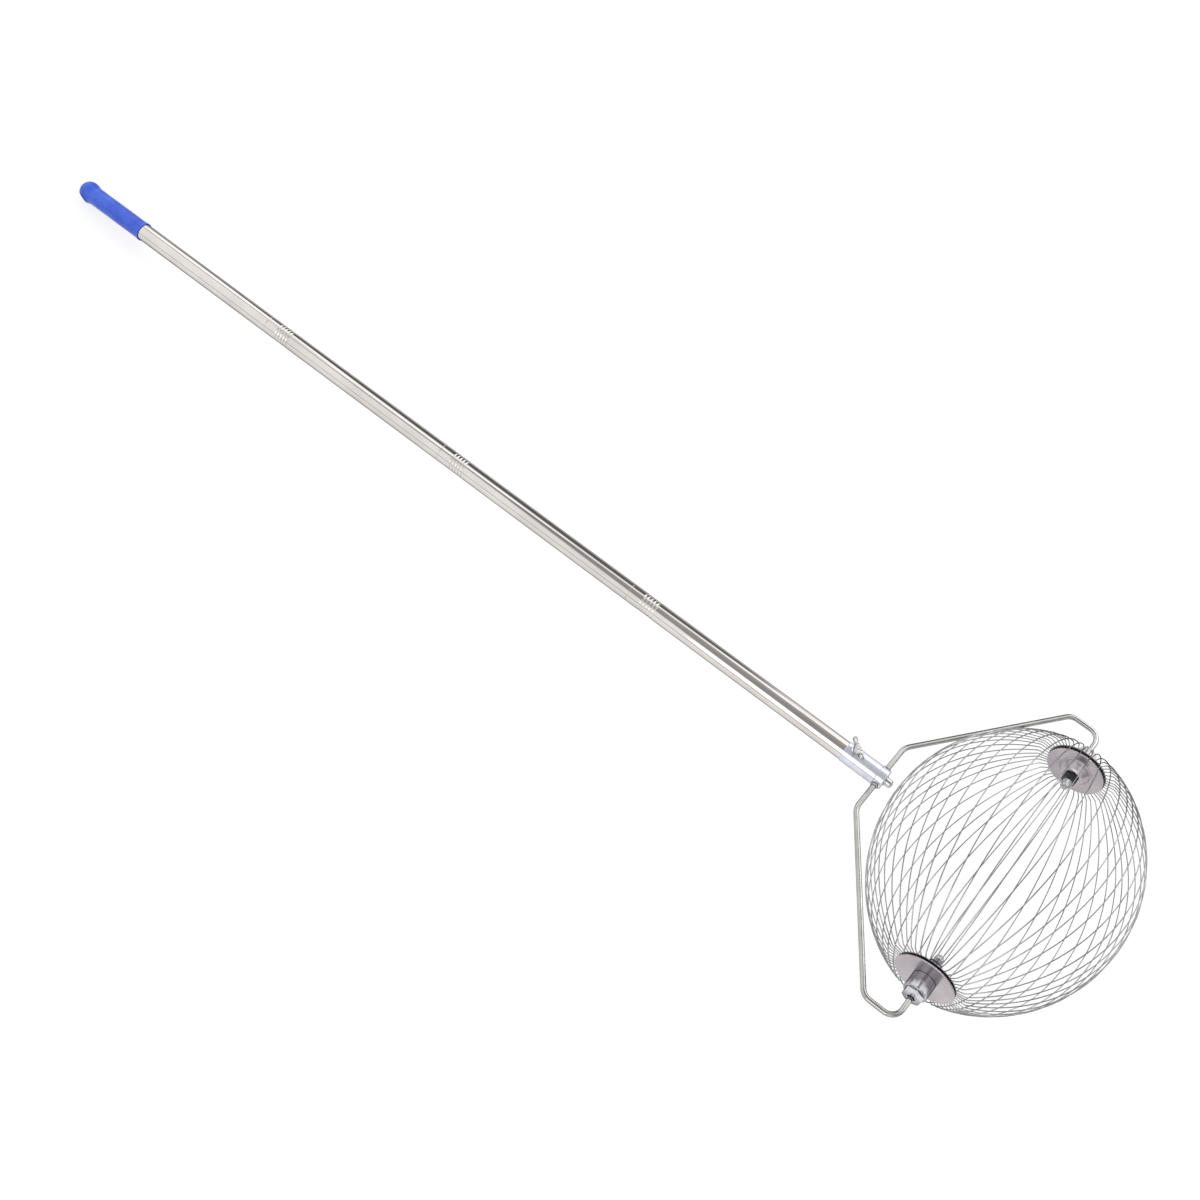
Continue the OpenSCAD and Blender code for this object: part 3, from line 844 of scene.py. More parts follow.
@dataclass
class ForkSocket:
    """The sleeve that takes the pole, the ferrule that takes the fork, and their screws."""

    radius: float = 11.98
    bore: float = 11.08
    edge: float = 0.5
    cross_hole: float = 3.06
    ferrule_round: float = 1.5
    ferrule_gap: float = 0.12
    spigot_slip: float = 0.1
    spigot_round: float = 0.4
    screw_flange: float = 5.4
    screw_flange_height: float = 1.4
    screw_flange_round: float = 0.4
    screw_round: float = 0.3
    screw_dome: float = 4.6
    screw_dome_round: float = 5.2
    screw_dome_height: float = 7.4
    screw_dome_steps: int = 12
    nut_width: float = 11.0
    nut_height: float = 3.0
    nut_bite: float = 0.4

    def build(self, shop: Workshop) -> None:
        """Builds the sleeve, ferrule, clamp screw and the nut of the wing screw."""
        layout = shop.stance.layout
        sleeve = lathe(rounded([
            (self.bore, 0, 0), (self.radius, 0, self.edge), (self.radius, layout.socket, self.edge),
            (self.bore, layout.socket, 0),
        ], steps=4), steps=96, closed=True)
        moved(sleeve, shop.stance.on_pole(layout.socket_foot))
        bolt, nut = self._clamp_bolt(shop), self._nut(shop)
        satin, bright = Finishes.SATIN_ALUMINIUM, Finishes.BRIGHT_CASTING
        shop.piece("socket_sleeve", sleeve, satin, "pole", ["fork_socket"])
        shop.piece("socket_ferrule", self._ferrule(shop), satin, "pole", ["fork_ferrule"])
        shop.piece("clamp_bolt", bolt, bright, "pole", ["clamp_screw"])
        shop.piece("wing_screw_nut", nut, bright, "pole", ["wing_nut_boss"])

    def _nut(self, shop: Workshop) -> bmesh.types.BMesh:
        """Makes the nut of the wing screw, hollowed to sit on the sleeve."""
        sink = self.radius / 2
        bar = hexagon(self.nut_width, self.radius + self.nut_height - sink, low=False)
        moved(bar, Matrix.Translation((0, 0, sink * MM)))
        long = 4 * self.nut_width
        sleeve = prism(2 * self.radius - self.nut_bite, long, sides=64)
        moved(sleeve, UPRIGHT @ Matrix.Translation((0, 0, -long / 2 * MM)))
        frame = shop.stance.on_pole(shop.stance.layout.wing) @ UPRIGHT
        return moved(carved(bar, sleeve, "DIFFERENCE"), frame)

    def _ferrule(self, shop: Workshop) -> bmesh.types.BMesh:
        """Spins the ferrule and drills its cross hole."""
        layout = shop.stance.layout
        shoulder, seat = layout.ferrule - self.ferrule_gap, self.bore - self.spigot_slip
        top = layout.ferrule + layout.spigot
        blank = lathe(rounded([
            (0, 0, 0), (self.radius, 0, self.ferrule_round), (self.radius, shoulder, self.edge),
            (seat, shoulder, 0), (seat, top, self.spigot_round), (0, top, 0),
        ], steps=5), steps=96)
        long = 4 * self.radius
        drill = prism(2 * self.cross_hole, long, sides=40)
        place = Matrix.Translation((0, -long / 2 * MM, layout.ferrule_hole_up * MM))
        moved(drill, place @ Matrix.Rotation(-QUARTER_TURN, 4, "X"))
        return moved(carved(blank, drill, "DIFFERENCE"), shop.stance.on_pole(layout.ferrule_end))

    def _clamp_bolt(self, shop: Workshop) -> bmesh.types.BMesh:
        """Spins the clamp screw's domed head and its flange, from the ferrule's end down."""
        tall, ball, tip = self.screw_flange_height, self.screw_dome_round, -self.screw_dome_height
        dome, flange, soft = self.screw_dome, self.screw_flange, self.screw_round
        widest = math.asin(dome / ball)
        outline: Profile = []
        for step in range(self.screw_dome_steps + 1):
            angle = widest * step / self.screw_dome_steps
            outline.append((ball * math.sin(angle), tip + ball * (1 - math.cos(angle))))
        outline += rounded([
            (dome, outline[-1][1] + soft, 0), (dome, 0, soft), (flange, 0, self.screw_flange_round),
            (flange, tall, soft), (0, tall, 0),
        ], steps=4)
        return moved(lathe(outline, steps=72), shop.stance.on_pole(shop.stance.layout.ferrule_end - tall))


class WingStep(NamedTuple):
    """One push of a wing out of the hub.

    Attributes:
        out: Length pushed outwards.
        up: Length pushed upwards.
        thick_share: Thickness, as a share of the thickness before.
        tall_share: Height, as a share of the height before.
    """

    out: float
    up: float
    thick_share: float
    tall_share: float


@dataclass
class WingScrew:
    """The wing screw, from the tip of its stud up."""

    stud_radius: float = 2.95
    stud_top: float = 19.3
    tip: float = 11.1
    tip_ease: float = 0.6
    tip_ease_height: float = 0.5
    pitch: float = 1.0
    crest: float = 0.2
    groove: float = 0.45
    head_z: float = 15.38
    hub_radius: float = 5.0
    hub_height: float = 8.0
    hub_sides: int = 8
    hub_foot_share: float = 1.12
    hub_top_share: float = 0.98
    hub_inset: float = 1.2
    turn: float = -39.0
    wing_steps: tuple[WingStep, ...] = (
        WingStep(out=1.4, up=0.3, thick_share=1.0, tall_share=0.82),
        WingStep(out=2.4, up=0.8, thick_share=1.25, tall_share=1.2),
        WingStep(out=3.2, up=1.0, thick_share=1.1, tall_share=1.25),
        WingStep(out=1.8, up=0.2, thick_share=0.85, tall_share=0.7),
    )

    def build(self, shop: Workshop) -> None:
        """Builds the threaded stud and the winged head."""
        frame = shop.stance.on_pole(shop.stance.layout.wing) @ UPRIGHT
        roll = Matrix.Rotation(math.radians(self.turn), 4, "Z")
        stud = moved(self._stud(), frame)
        head = moved(self._head(), frame @ Matrix.Translation((0, 0, self.head_z * MM)) @ roll)
        cast = Finishes.BRIGHT_CASTING
        shop.piece("wing_screw_stud", stud, cast, "screw_stud", ["wing_stud"], crease=25)
        made = shop.piece("wing_screw_head", head, cast, "screw_head", ["wing_head"], crease=180)
        smooth = made.modifiers.new("cast_round", "SUBSURF")
        smooth.levels = smooth.render_levels = 3

    def _stud(self) -> bmesh.types.BMesh:
        """Spins the stud with grooves for its thread."""
        radius = self.stud_radius
        outline: Profile = [(0, self.tip), (radius - self.tip_ease, self.tip)]
        height = self.tip + self.tip_ease_height
        while height + self.pitch < self.stud_top:
            outline += [
                (radius, height), (radius, height + self.crest),
                (radius - self.groove, height + self.pitch / 2 + self.crest / 2),
            ]
            height += self.pitch
        outline += [(radius, height), (radius, self.stud_top), (0, self.stud_top)]
        return lathe(outline, steps=48)

    def _head(self) -> bmesh.types.BMesh:
        """Draws two wings out of a hub with flat sides, for subdivision to round."""
        bm = bmesh.new()
        lift = Matrix.Translation((0, 0, self.hub_height / 2 * MM))
        bmesh.ops.create_cone(
            bm, cap_ends=True, segments=self.hub_sides, radius1=self.hub_radius * self.hub_foot_share * MM,
            radius2=self.hub_radius * self.hub_top_share * MM, depth=self.hub_height * MM,
            matrix=lift @ Matrix.Rotation(math.pi / self.hub_sides, 4, "Z"),
        )
        bm.normal_update()
        for way in (-1, 1):
            face = max((f for f in bm.faces if len(f.verts) == 4), key=lambda f: f.normal.x * way)
            for push in self.wing_steps:
                face = bmesh.ops.extrude_discrete_faces(bm, faces=[face])["faces"][0]
                back = Matrix.Translation(-face.calc_center_median())
                size = (1, push.thick_share, push.tall_share)
                bmesh.ops.scale(bm, vec=size, space=back, verts=face.verts)
                bmesh.ops.translate(bm, vec=(way * push.out * MM, 0, push.up * MM), verts=face.verts)
        caps = [f for f in bm.faces if len(f.verts) == self.hub_sides]
        bmesh.ops.inset_region(bm, faces=caps, thickness=self.hub_inset * MM, use_even_offset=True)
        return bm


@dataclass
class Fork:
    """The bent rod that carries the ball, with its collars and end caps."""

    radius: float = 3.0
    sides: int = 24
    tip_chamfer: float = 0.5
    cross_half: float = 48.0
    leg: float = 37.2
    cross_bend: float = 20.0
    arm_bend: float = 14.0
    bend_steps: int = 10
    end_bend: float = 14.0
    end_bend_steps: int = 12
    collar_radius: float = 4.25
    collar_length: float = 2.0
    collar_place: float = 12.38
    collar_slip: float = 0.08
    collar_inner_round: float = 0.4
    collar_outer_round: float = 0.6
    cap_radius: float = 4.75
    cap_slip: float = 0.05
    cap_taper: float = 0.9
    cap_taper_length: float = 1.4
    cap_tip_round: float = 0.4
    cap_taper_round: float = 0.8
    cap_foot_round: float = 0.5

    def build(self, shop: Workshop) -> None:
        """Bends the rod, slides its rings on and caps its tips."""
        layout = shop.stance.layout
        rod = moved(self._rod(layout), shop.stance.tool())
        shop.piece("fork_bar", rod, Finishes.PLATED_ROD, "fork", ["fork_rod"])
        rings = []
        for side in Side:
            place = Matrix.Translation((-layout.reach * MM, side.value * self.collar_place * MM, 0))
            outwards = Matrix.Rotation(-side.value * QUARTER_TURN, 4, "X")
            rings.append(moved(self._collar(), shop.stance.tool() @ place @ outwards))
        shop.piece("fork_rings", joined(rings), Finishes.PLATED_ROD, "fork", ["fork_collars"])
        low = Matrix.Translation((0, 0, (layout.shank_end - layout.face_gap - layout.cap) * MM))
        for side in Side:
            cap = moved(self._cap(layout.cap), shop.stance.on_axle(side) @ low)
            node = f"rod_retainer_{side.word}"
            shop.piece(f"rod_cap_{side.word}", cap, Finishes.BRIGHT_PLATE, "fork", [node])

    def _collar(self) -> bmesh.types.BMesh:
        """Spins one ring that sits on the cross rod beside the ferrule."""
        hole, rim, long = self.radius + self.collar_slip, self.collar_radius, self.collar_length
        return lathe(rounded([
            (hole, 0, 0), (rim, 0, self.collar_inner_round), (rim, long, self.collar_outer_round),
            (hole, long, 0),
        ], steps=4), steps=64, closed=True)

    def _cap(self, long: float) -> bmesh.types.BMesh:
        """Spins one cap of some length, tapered towards the rod's tip."""
        hole, rim = self.radius + self.cap_slip, self.cap_radius
        return lathe(rounded([
            (hole, 0, 0), (rim - self.cap_taper, 0, self.cap_tip_round),
            (rim, self.cap_taper_length, self.cap_taper_round), (rim, long, self.cap_foot_round),
            (hole, long, 0),
        ], steps=4), steps=56, closed=True)

    def _rod(self, layout: Layout) -> bmesh.types.BMesh:
        """Bends the rod from its left tip round to its right tip."""
        rise, spread = layout.reach - self.leg, layout.fork_half - self.cross_half
        arm_turn = math.atan2(rise, spread)
        cross_trim = self.cross_bend * math.tan(arm_turn / 2)
        arm_trim = self.arm_bend * math.tan((QUARTER_TURN - arm_turn) / 2)
        cross = 2 * (self.cross_half - cross_trim)
        arm = math.hypot(rise, spread) - cross_trim - arm_trim
        leg = self.leg - arm_trim - self.end_bend
        end = layout.fork_half - self.end_bend - layout.rod_tip
        at_end = (QUARTER_TURN, self.end_bend, self.end_bend_steps)
        at_arm = (QUARTER_TURN - arm_turn, self.arm_bend, self.bend_steps)
        at_cross = (arm_turn, self.cross_bend, self.bend_steps)
        plan = [
            (end, at_end), (leg, at_arm), (arm, at_cross), (cross, at_cross), (arm, at_arm), (leg, at_end),
        ]
        at, heading = Vector((0, -layout.rod_tip, 0)), Vector((0, -1, 0))
        start = Matrix.Translation(at * MM) @ Matrix.Rotation(QUARTER_TURN, 4, "X")
        bar = Sweep(self.radius, start, self.sides)
        for length, (turn, bend, steps) in plan:
            bar.straight(heading * length)
            at = at + heading * length
            centre = at + Vector((heading.y, -heading.x, 0)) * bend
            bar.bend(centre, Vector((0, 0, 1)), -turn, steps)
            at = centre + Matrix.Rotation(-turn, 3, "Z") @ (at - centre)
            heading = Matrix.Rotation(-turn, 3, "Z") @ heading
        bar.straight(heading * end)
        return bar.ended(self.tip_chamfer)


@dataclass
class Ball:
    """The ball of wires with the plates and hubs that hold it."""

    radius: float = 135.7
    wire_radius: float = 0.6
    wire_sides: int = 10
    wires: int = 52
    groups: int = 4
    scatter: float = 1.1
    scatter_waves: int = 19
    arc_steps: int = 44
    kink_radius: float = 45.0
    kink_bend: float = 5.0
    kink_steps: int = 5
    wire_in: float = 27.5
    plate_radius: float = 34.0
    plate_inner_round: float = 0.5
    rim_round: float = 0.75
    rim_band: float = 2.2
    rim_band_round: float = 0.4
    rim_foot: float = 3.0
    rim_foot_round: float = 0.5
    rim_rise: float = 0.3
    inner_radius: float = 33.0
    inner_round: float = 0.45
    holder_radius: float = 33.3
    holder_round: float = 0.25
    groove_round: float = 0.15
    groove_spare: float = 0.4
    dome_top: float = 12.0
    dome_top_round: float = 4.0
    dome_foot: float = 18.0
    dome_foot_round: float = 0.6
    dome_skirt: float = 1.2
    dome_skirt_height: float = 2.2
    dome_skirt_round: float = 1.0
    dome_draw: float = 1.0
    dome_hollow_round: float = 0.8
    dome_roof_round: float = 0.6
    bead: float = 0.9
    bead_start: float = 0.6
    bead_stop: float = 1.8
    bead_end: float = 2.4
    bead_round: float = 0.4
    bead_end_round: float = 0.5
    shank: float = 5.0
    shank_slip: float = 0.08
    shank_ease: float = 0.7
    shank_ease_height: float = 0.8
    thread_pitch: float = 1.25
    thread_crest: float = 0.35
    thread_floor: float = 0.8
    thread_depth: float = 0.5
    thread_stop: float = 3.0
    barrel: float = 13.0
    barrel_foot_round: float = 0.3
    barrel_round: float = 1.2
    hex_width: float = 19.5
    hex_bite: float = 0.4
    neck_ease: float = 0.6
    neck_length: float = 1.0
    bore: float = 3.06
    mouth: float = 4.3
    mouth_depth: float = 4.0
    mouth_ease: float = 0.6
    mouth_flare: float = 1.2
    drill_overrun: float = 2.0
    nut_width: float = 15.0

    @property
    def plate_hole(self) -> float:
        """Radius of the hole that the shank passes through."""
        return self.shank + self.shank_slip

    def build(self, shop: Workshop) -> None:
        """Builds the wires, and the plates and hub of each end."""
        per_group = self.wires // self.groups
        half = shop.stance.layout.ball_half
        for group in range(self.groups):
            numbers = range(group * per_group, (group + 1) * per_group)
            strands = [moved(self._wire(half), Matrix.Rotation(self._angle(n), 4, "Y")) for n in numbers]
            bm = moved(joined(strands), Matrix.Translation(shop.stance.ball))
            name, node = f"ball_wires_{group + 1}", f"cage_wires_{group + 1}"
            shop.piece(name, bm, Finishes.SPRING_WIRE, "cage", [node], crease=60)
        for side in Side:
            self._end(shop, side)

    def _angle(self, number: int) -> float:
        """Where a wire stands round the axle, a little off an even spacing."""
        even = 90 + (number + 0.5) * 360 / self.wires
        shift = self.scatter * math.sin(math.pi * self.scatter_waves * number / (self.wires - 1))
        return math.radians(even + shift)

    def _wire(self, half: float) -> bmesh.types.BMesh:
        """Bends one wire in the XY plane, X out of the axle and Y along it, between two ends."""
        rise = self.radius - self.kink_radius
        arc = (half**2 + rise**2) / (2 * rise)
        middle = self.radius - arc
        kink_y = half - self.kink_bend
        kink_x = middle + math.sqrt((arc - self.kink_bend) ** 2 - kink_y**2)
        sweep = math.atan2(kink_y, kink_x - middle)
        up = Vector((0, 0, 1))
        start = Matrix.Translation(Vector((self.wire_in, half, 0)) * MM)
        wire = Sweep(self.wire_radius, start @ UPRIGHT, self.wire_sides)
        wire.straight(Vector((kink_x - self.wire_in, 0, 0)))
        wire.bend(Vector((kink_x, kink_y, 0)), up, sweep - QUARTER_TURN, self.kink_steps)
        wire.bend(Vector((middle, 0, 0)), up, -2 * sweep, self.arc_steps)
        wire.bend(Vector((kink_x, -kink_y, 0)), up, sweep - QUARTER_TURN, self.kink_steps)
        wire.straight(Vector((self.wire_in - kink_x, 0, 0)))
        return wire.ended()

    def _end(self, shop: Workshop, side: Side) -> None:
        """Builds one end's plates, wire holder, hub and lock nut."""
        frame = shop.stance.on_axle(side)
        layout = shop.stance.layout

        def put(
            name: str, node: str, bm: bmesh.types.BMesh, height: float, finish: Finishes,
        ) -> None:
            """Makes a piece of this end, moved out along the axle."""
            moved(bm, frame @ Matrix.Translation((0, 0, height * MM)))
            shop.piece(f"{name}_{side.word}", bm, finish, "cage", [f"{node}_{side.word}"])

        pressed = Finishes.PRESSED_PLATE
        put("end_plate", "outer_plate", self._outer(layout.plate), layout.plate_foot, pressed)
        put("domed_plate", "inner_plate", self._inner(layout), layout.dome_face, pressed)
        thick = layout.wire_slot + 2 * layout.holder_wall
        disc, disc_foot = self._holder(thick, layout.holder_wall), layout.ball_half - thick / 2
        # The disc's black nylon is painted shade: it darkens the slot between the plates where shadow would
        # fall.
        put("wire_disc", "wire_holder", disc, disc_foot, Finishes.BLACK_NYLON)
        put("hub", "hub_bush", self._hub(layout), layout.shank_end, Finishes.BRIGHT_PLATE)
        nut, nut_foot = self._lock_nut(layout.nut), layout.dome_face - layout.nut
        # The lock nut's dark grey is partly painted shade, in place of dark reflections on its facets.
        put("hub_nut", "lock_nut", nut, nut_foot, Finishes.BLACKENED_STEEL)

    def _holder(self, thick: float, wall: float) -> bmesh.types.BMesh:
        """Spins the black disc with the groove that the wires' ends sit in; its black is painted shade for
        the slot between the plates.
        """
        hole, floor, rim = self.plate_hole, self.wire_in - self.groove_spare, self.holder_radius
        outer, inner = self.holder_round, self.groove_round
        return lathe(rounded([
            (hole, 0, 0), (rim, 0, outer), (rim, wall, inner), (floor, wall, 0), (floor, thick - wall, 0),
            (rim, thick - wall, inner), (rim, thick, outer), (hole, thick, 0),
        ], steps=4), steps=112, closed=True)

    def _lock_nut(self, tall: float) -> bmesh.types.BMesh:
        """Makes the lock nut with its hole."""
        drill = prism(2 * self.plate_hole, 3 * tall, sides=48)
        moved(drill, Matrix.Translation((0, 0, -tall * MM)))
        return carved(hexagon(self.nut_width, tall), drill, "DIFFERENCE")

    def _outer(self, thick: float) -> bmesh.types.BMesh:
        """Spins the plate outside the wires, with a rolled rim."""
        hole, rim, face = self.plate_hole, self.plate_radius, thick - self.rim_rise
        return lathe(rounded([
            (hole, 0, 0), (rim, 0, self.plate_inner_round), (rim, thick, self.rim_round),
            (rim - self.rim_band, thick, self.rim_band_round),
            (rim - self.rim_foot, face, self.rim_foot_round), (hole, face, 0),
        ], steps=5), steps=128, closed=True)

    def _inner(self, layout: Layout) -> bmesh.types.BMesh:
        """Spins the plate inside the wires, with its pressed boss and the bead round the boss's foot."""
        thick, dome, hole = layout.inner_plate, layout.dome, self.plate_hole
        top, foot, rim, bead = self.dome_top, self.dome_foot, self.inner_radius, dome - self.bead
        return lathe(rounded([
            (hole, 0, 0), (top, 0, self.dome_top_round),
            (foot - self.dome_skirt, dome - self.dome_skirt_height, self.dome_skirt_round),
            (foot, dome, self.dome_foot_round), (foot + self.bead_start, bead, self.bead_round),
            (foot + self.bead_stop, bead, self.bead_round),
            (foot + self.bead_end, dome, self.bead_end_round), (rim, dome, self.inner_round),
            (rim, dome + thick, self.inner_round),
            (foot - self.dome_draw, dome + thick, self.dome_hollow_round),
            (top - self.dome_draw, thick, self.dome_roof_round), (hole, thick, 0),
        ], steps=6), steps=112, closed=True)

    def _hub(self, layout: Layout) -> bmesh.types.BMesh:
        """Makes a hub from its shank's end up: thread, barrel, hexagon and the mouth of its hole."""
        shank, shoulder = self.shank, layout.hub_foot - layout.shank_end
        top, neck = shoulder + layout.barrel, self.hex_width / 2 - self.neck_ease
        neck_top, end = top + self.neck_length, top + layout.hexagon
        turned = lathe(rounded([
            (0, 0, 0), *self._thread(shoulder - self.thread_stop), (shank, shoulder, 0),
            (self.barrel, shoulder, self.barrel_foot_round), (self.barrel, top, self.barrel_round),
            (neck, top, 0), (neck, neck_top, 0), (0, neck_top, 0),
        ], steps=5), steps=96)
        bar = hexagon(self.hex_width, layout.hexagon + self.hex_bite, low=False)
        moved(bar, Matrix.Translation((0, 0, (top - self.hex_bite) * MM)))
        start, over, step = -self.drill_overrun, end + self.drill_overrun, end - self.mouth_depth
        mouth, flare = self.mouth, self.mouth + self.mouth_flare
        drill = lathe([
            (0, start), (self.bore, start), (self.bore, step), (mouth, step), (mouth, end - self.mouth_ease),
            (flare, end + self.mouth_ease), (flare, over), (0, over),
        ], steps=48)
        return carved(carved(turned, bar, "UNION"), drill, "DIFFERENCE")

    def _thread(self, stop: float) -> list[Corner]:
        """The outline of the shank's thread, from its eased end up to a height."""
        shank, height = self.shank, self.shank_ease_height
        corners: list[Corner] = [(shank - self.shank_ease, 0, 0), (shank, height, 0)]
        while height + self.thread_pitch < stop:
            corners += [
                (shank, height + self.thread_crest, 0),
                (shank - self.thread_depth, height + self.thread_floor, 0),
                (shank, height + self.thread_pitch, 0),
            ]
            height += self.thread_pitch
        return corners


@dataclass(frozen=True)
class Lamp:
    """A soft box that faces the middle of the tool.

    Attributes:
        name: Its name.
        place: Where it stands, in metres.
        size: Its width and height, in metres.
        power: Its power in watts.
    """

    name: str
    place: tuple[float, float, float]
    size: tuple[float, float]
    power: float

    def build(self, target: Vector) -> None:
        """Adds the lamp, turned to a target."""
        data = bpy.data.lights.new(self.name, "AREA")
        data.shape = "RECTANGLE"
        data.size, data.size_y = self.size
        data.energy = self.power
        lamp = bpy.data.objects.new(self.name, data)
        lamp.location = self.place
        lamp.rotation_euler = (target - lamp.location).to_track_quat("-Z", "Y").to_euler()
        lamp.visible_camera = False
        bpy.context.collection.objects.link(lamp)


@dataclass(frozen=True)
class Opening:
    """A soft-edged oval that is left out of the white cloth round the table.

    Attributes:
        centre: Direction of the oval's middle.
        axes: Half widths of the oval along X, Y and Z.
        share: Share of the cloth's light that comes through it.
        edge: Where its soft edge starts and ends, as shares of the half widths.
    """

    centre: Corner
    axes: Corner
    share: float
    edge: tuple[float, float] = (0.88, 1.08)

    def mask(self, tree: bpy.types.NodeTree, way: bpy.types.NodeSocket) -> bpy.types.NodeSocket:
        """Works out the share of light from a direction.

        Args:
            tree: The world's node tree.
            way: The direction looked in.

        Returns:
            The share inside the oval, and 1 outside.
        """
        far = way
        for operation, value in (("SUBTRACT", self.centre), ("DIVIDE", self.axes)):
            step = add_node(tree, "ShaderNodeVectorMath", {0: far, 1: value}, operation=operation)
            far = step.outputs["Vector"]
        reach = add_node(tree, "ShaderNodeVectorMath", {0: far}, operation="LENGTH").outputs["Value"]
        return add_node(tree, "ShaderNodeMapRange", {
            "Value": reach, "From Min": self.edge[0], "From Max": self.edge[1], "To Min": self.share,
        }, interpolation_type="SMOOTHSTEP").outputs["Result"]


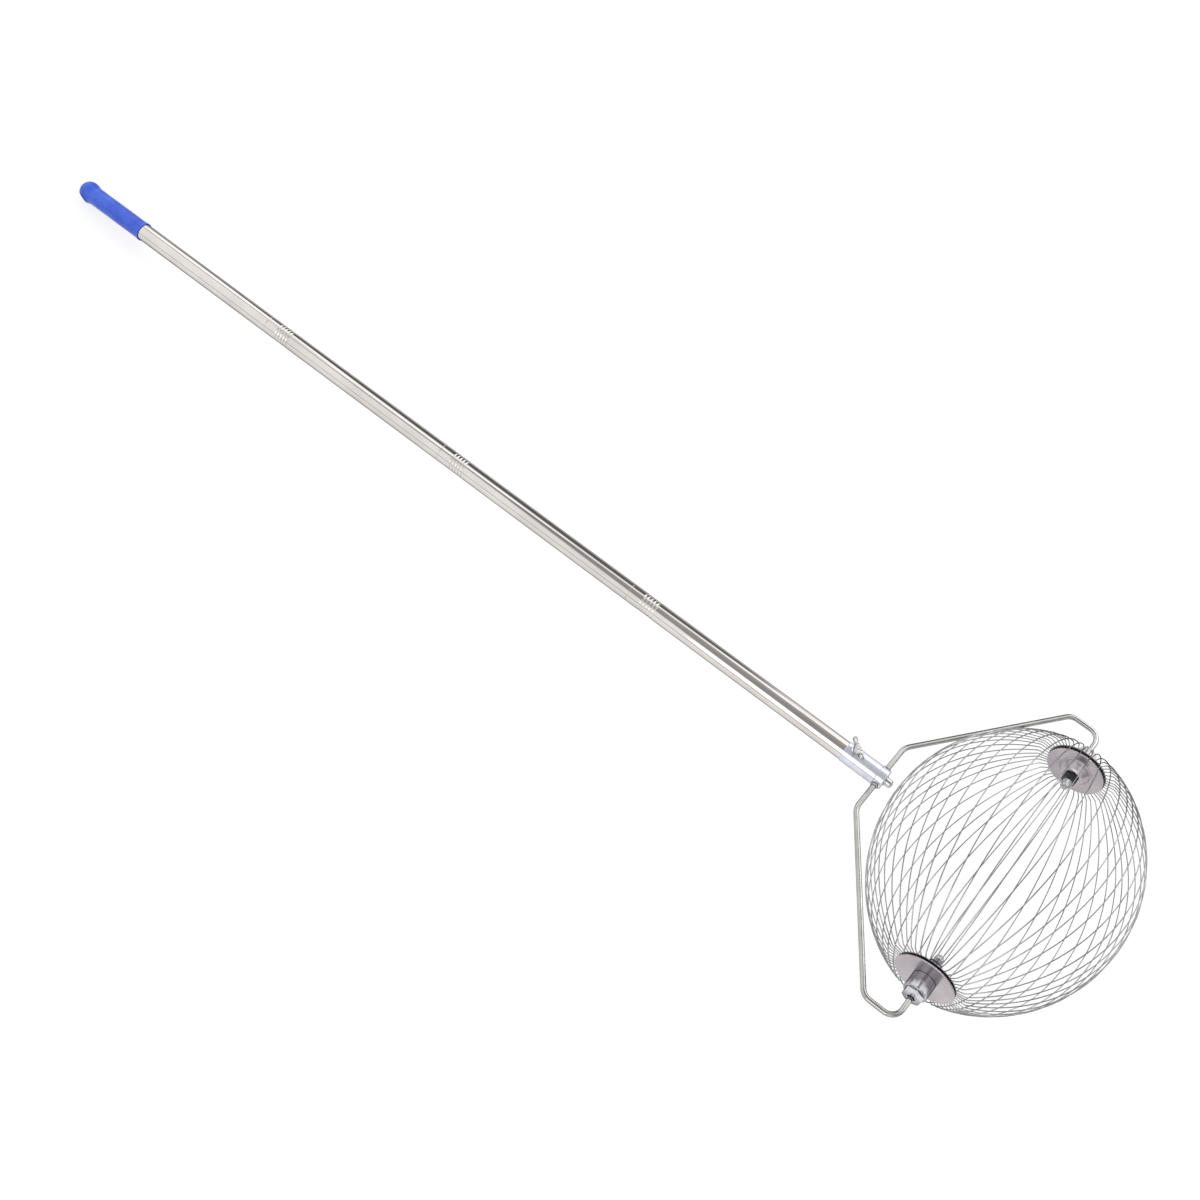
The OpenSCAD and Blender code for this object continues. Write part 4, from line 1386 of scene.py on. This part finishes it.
@dataclass
class Studio:
    """The pale floor, the soft light and the photograph's camera.

    Attributes:
        focal: Focal length in pixels of the photograph.
        eye: Camera place from the ball's centre.
        yaw: Turn of the view from +Y, in degrees.
        pitch: Downward tilt of the view, in degrees.
        roll: Turn of the picture about the view, in degrees.
        sensor: Width of the camera's sensor.
        view_depth: How far the camera sees, in metres.
        floor_size: Width of the floor, in metres.
        paper: sRGB colour of the floor.
        paper_lift: Light that the floor adds for the camera and in reflections, where 1 is white.
        lamps: The soft boxes.
        lamp_aim: What the soft boxes face, in metres.
        cloth_front: Light of the cloth at the front.
        cloth_back: Light of the cloth at the back.
        cloth_turn: Where the front changes to the back, along Y.
        horizon: Share of the cloth's light at its foot.
        horizon_top: Height at which the cloth has all its light, along Z.
        openings: The ovals left out of the cloth.
    """

    focal: float = 1541.7
    eye: tuple[float, float, float] = (-166.9, -877.4, 1425.8)
    yaw: float = -22.58
    pitch: float = 58.11
    roll: float = -19.91
    sensor: float = 36.0
    view_depth: float = 50.0
    floor_size: float = 14.0
    paper: str = "#959595"
    paper_lift: float = 0.75
    lamps: tuple[Lamp, ...] = (
        Lamp("back_box", place=(1.0, 2.5, 2.0), size=(1.8, 1.2), power=14.0),
        Lamp("front_box", place=(0.4, -2.6, 1.6), size=(2.0, 1.8), power=15.0),
    )
    lamp_aim: tuple[float, float, float] = (0.0, 0.0, 0.1)
    cloth_front: float = 1.08
    cloth_back: float = 1.42
    cloth_turn: tuple[float, float] = (-0.1, 0.35)
    horizon: float = 0.4
    horizon_top: float = 0.18
    openings: tuple[Opening, ...] = (
        Opening(centre=(-0.14, -0.05, 1.0), axes=(0.32, 0.58, 9.0), share=0.34),
        Opening(centre=(-0.49, 0.0, 1.0), axes=(0.11, 0.11, 9.0), share=0.36),
        Opening(centre=(-0.65, 0.27, 1.0), axes=(0.1, 0.09, 9.0), share=0.38),
        Opening(centre=(-0.38, 1.0, 0.1), axes=(0.22, 0.9, 0.75), share=0.12),
        Opening(centre=(-0.55, 1.0, 0.0), axes=(0.4, 0.6, 0.3), share=0.3),
        Opening(centre=(0.8, -0.05, 0.6), axes=(0.55, 0.42, 9.0), share=0.5),
    )

    def build(self, stance: Stance) -> None:
        """Lays the floor, lights it and sets the camera."""
        self._floor()
        self._world()
        for lamp in self.lamps:
            lamp.build(Vector(self.lamp_aim))
        self._camera(stance)
        bpy.context.scene.view_settings.view_transform = "Standard"

    def _floor(self) -> None:
        """Lays a plain pale floor that reads as white and keeps the shadow."""
        bm = bmesh.new()
        bmesh.ops.create_grid(bm, x_segments=1, y_segments=1, size=self.floor_size / 2)
        mesh = bpy.data.meshes.new("studio_floor")
        bm.to_mesh(mesh)
        bm.free()
        floor = bpy.data.objects.new("studio_floor", mesh)
        bpy.context.collection.objects.link(floor)
        material = bpy.data.materials.new("white_paper_floor")
        material.use_nodes = True
        tree = material.node_tree
        tree.nodes.clear()
        rays = add_node(tree, "ShaderNodeLightPath").outputs
        seen = rays["Is Camera Ray"]
        for kind in ("Is Glossy Ray", "Is Transmission Ray"):
            either = add_node(tree, "ShaderNodeMath", {0: seen, 1: rays[kind]}, operation="MAXIMUM")
            seen = either.outputs[0]
        lift = add_node(tree, "ShaderNodeMath", {0: seen, 1: self.paper_lift}, operation="MULTIPLY")
        paper = add_node(tree, "ShaderNodeBsdfDiffuse", {"Color": linear(self.paper)})
        glow = add_node(tree, "ShaderNodeEmission", {"Color": linear(WHITE), "Strength": lift.outputs[0]})
        both = add_node(tree, "ShaderNodeAddShader", {0: paper.outputs[0], 1: glow.outputs[0]})
        add_node(tree, "ShaderNodeOutputMaterial", {"Surface": both.outputs[0]})
        mesh.materials.append(material)

    def _world(self) -> None:
        """Hangs white cloth round the table, brighter at the back, with a dim horizon and dim openings."""
        world = bpy.data.worlds.new("white_tent")
        bpy.context.scene.world = world
        world.use_nodes = True
        tree = world.node_tree
        tree.nodes.clear()
        way = add_node(tree, "ShaderNodeTexCoord").outputs["Generated"]
        parts = add_node(tree, "ShaderNodeSeparateXYZ", {"Vector": way}).outputs
        level = add_node(tree, "ShaderNodeMapRange", {
            "Value": parts["Y"], "From Min": self.cloth_turn[0], "From Max": self.cloth_turn[1],
            "To Min": self.cloth_front, "To Max": self.cloth_back,
        }, interpolation_type="SMOOTHSTEP").outputs["Result"]
        rise = add_node(tree, "ShaderNodeMapRange", {
            "Value": parts["Z"], "From Min": 0.0, "From Max": self.horizon_top, "To Min": self.horizon,
        }, interpolation_type="SMOOTHSTEP").outputs["Result"]
        for share in (rise, *(opening.mask(tree, way) for opening in self.openings)):
            level = add_node(tree, "ShaderNodeMath", {0: level, 1: share}, operation="MULTIPLY").outputs[0]
        shell = add_node(tree, "ShaderNodeBackground", {"Color": linear(WHITE), "Strength": level})
        add_node(tree, "ShaderNodeOutputWorld", {"Surface": shell.outputs["Background"]})

    def _camera(self, stance: Stance) -> None:
        """Sets the camera where the photograph was taken from."""
        yaw, pitch, roll = (math.radians(angle) for angle in (self.yaw, self.pitch, self.roll))
        ahead = Vector((math.sin(yaw) * math.cos(pitch), math.cos(yaw) * math.cos(pitch), -math.sin(pitch)))
        level = Vector((math.cos(yaw), -math.sin(yaw), 0))
        down = ahead.cross(level)
        right = level * math.cos(roll) + down * math.sin(roll)
        down = down * math.cos(roll) - level * math.sin(roll)
        data = bpy.data.cameras.new("photo_camera")
        data.sensor_fit = "HORIZONTAL"
        data.sensor_width = self.sensor
        data.lens = self.focal * self.sensor / IMAGE_SIZE
        data.clip_end = self.view_depth
        camera = bpy.data.objects.new("photo_camera", data)
        turn = Matrix((right, -down, -ahead)).transposed()
        camera.matrix_world = Matrix.Translation(stance.ball + Vector(self.eye) * MM) @ turn.to_4x4()
        bpy.context.collection.objects.link(camera)
        bpy.context.scene.camera = camera


def main() -> None:
    """Builds every sub-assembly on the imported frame."""
    logging.basicConfig(level=logging.INFO, format="%(name)s: %(message)s")
    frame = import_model()
    stance = Stance.of_record(frame["record"])
    shop = Workshop(stance, frame["nodes"])
    for assembly in (Pole(), Grip(), ForkSocket(), WingScrew(), Fork(), Ball()):
        assembly.build(shop)
    Studio().build(stance)


if __name__ == "__main__":
    main()
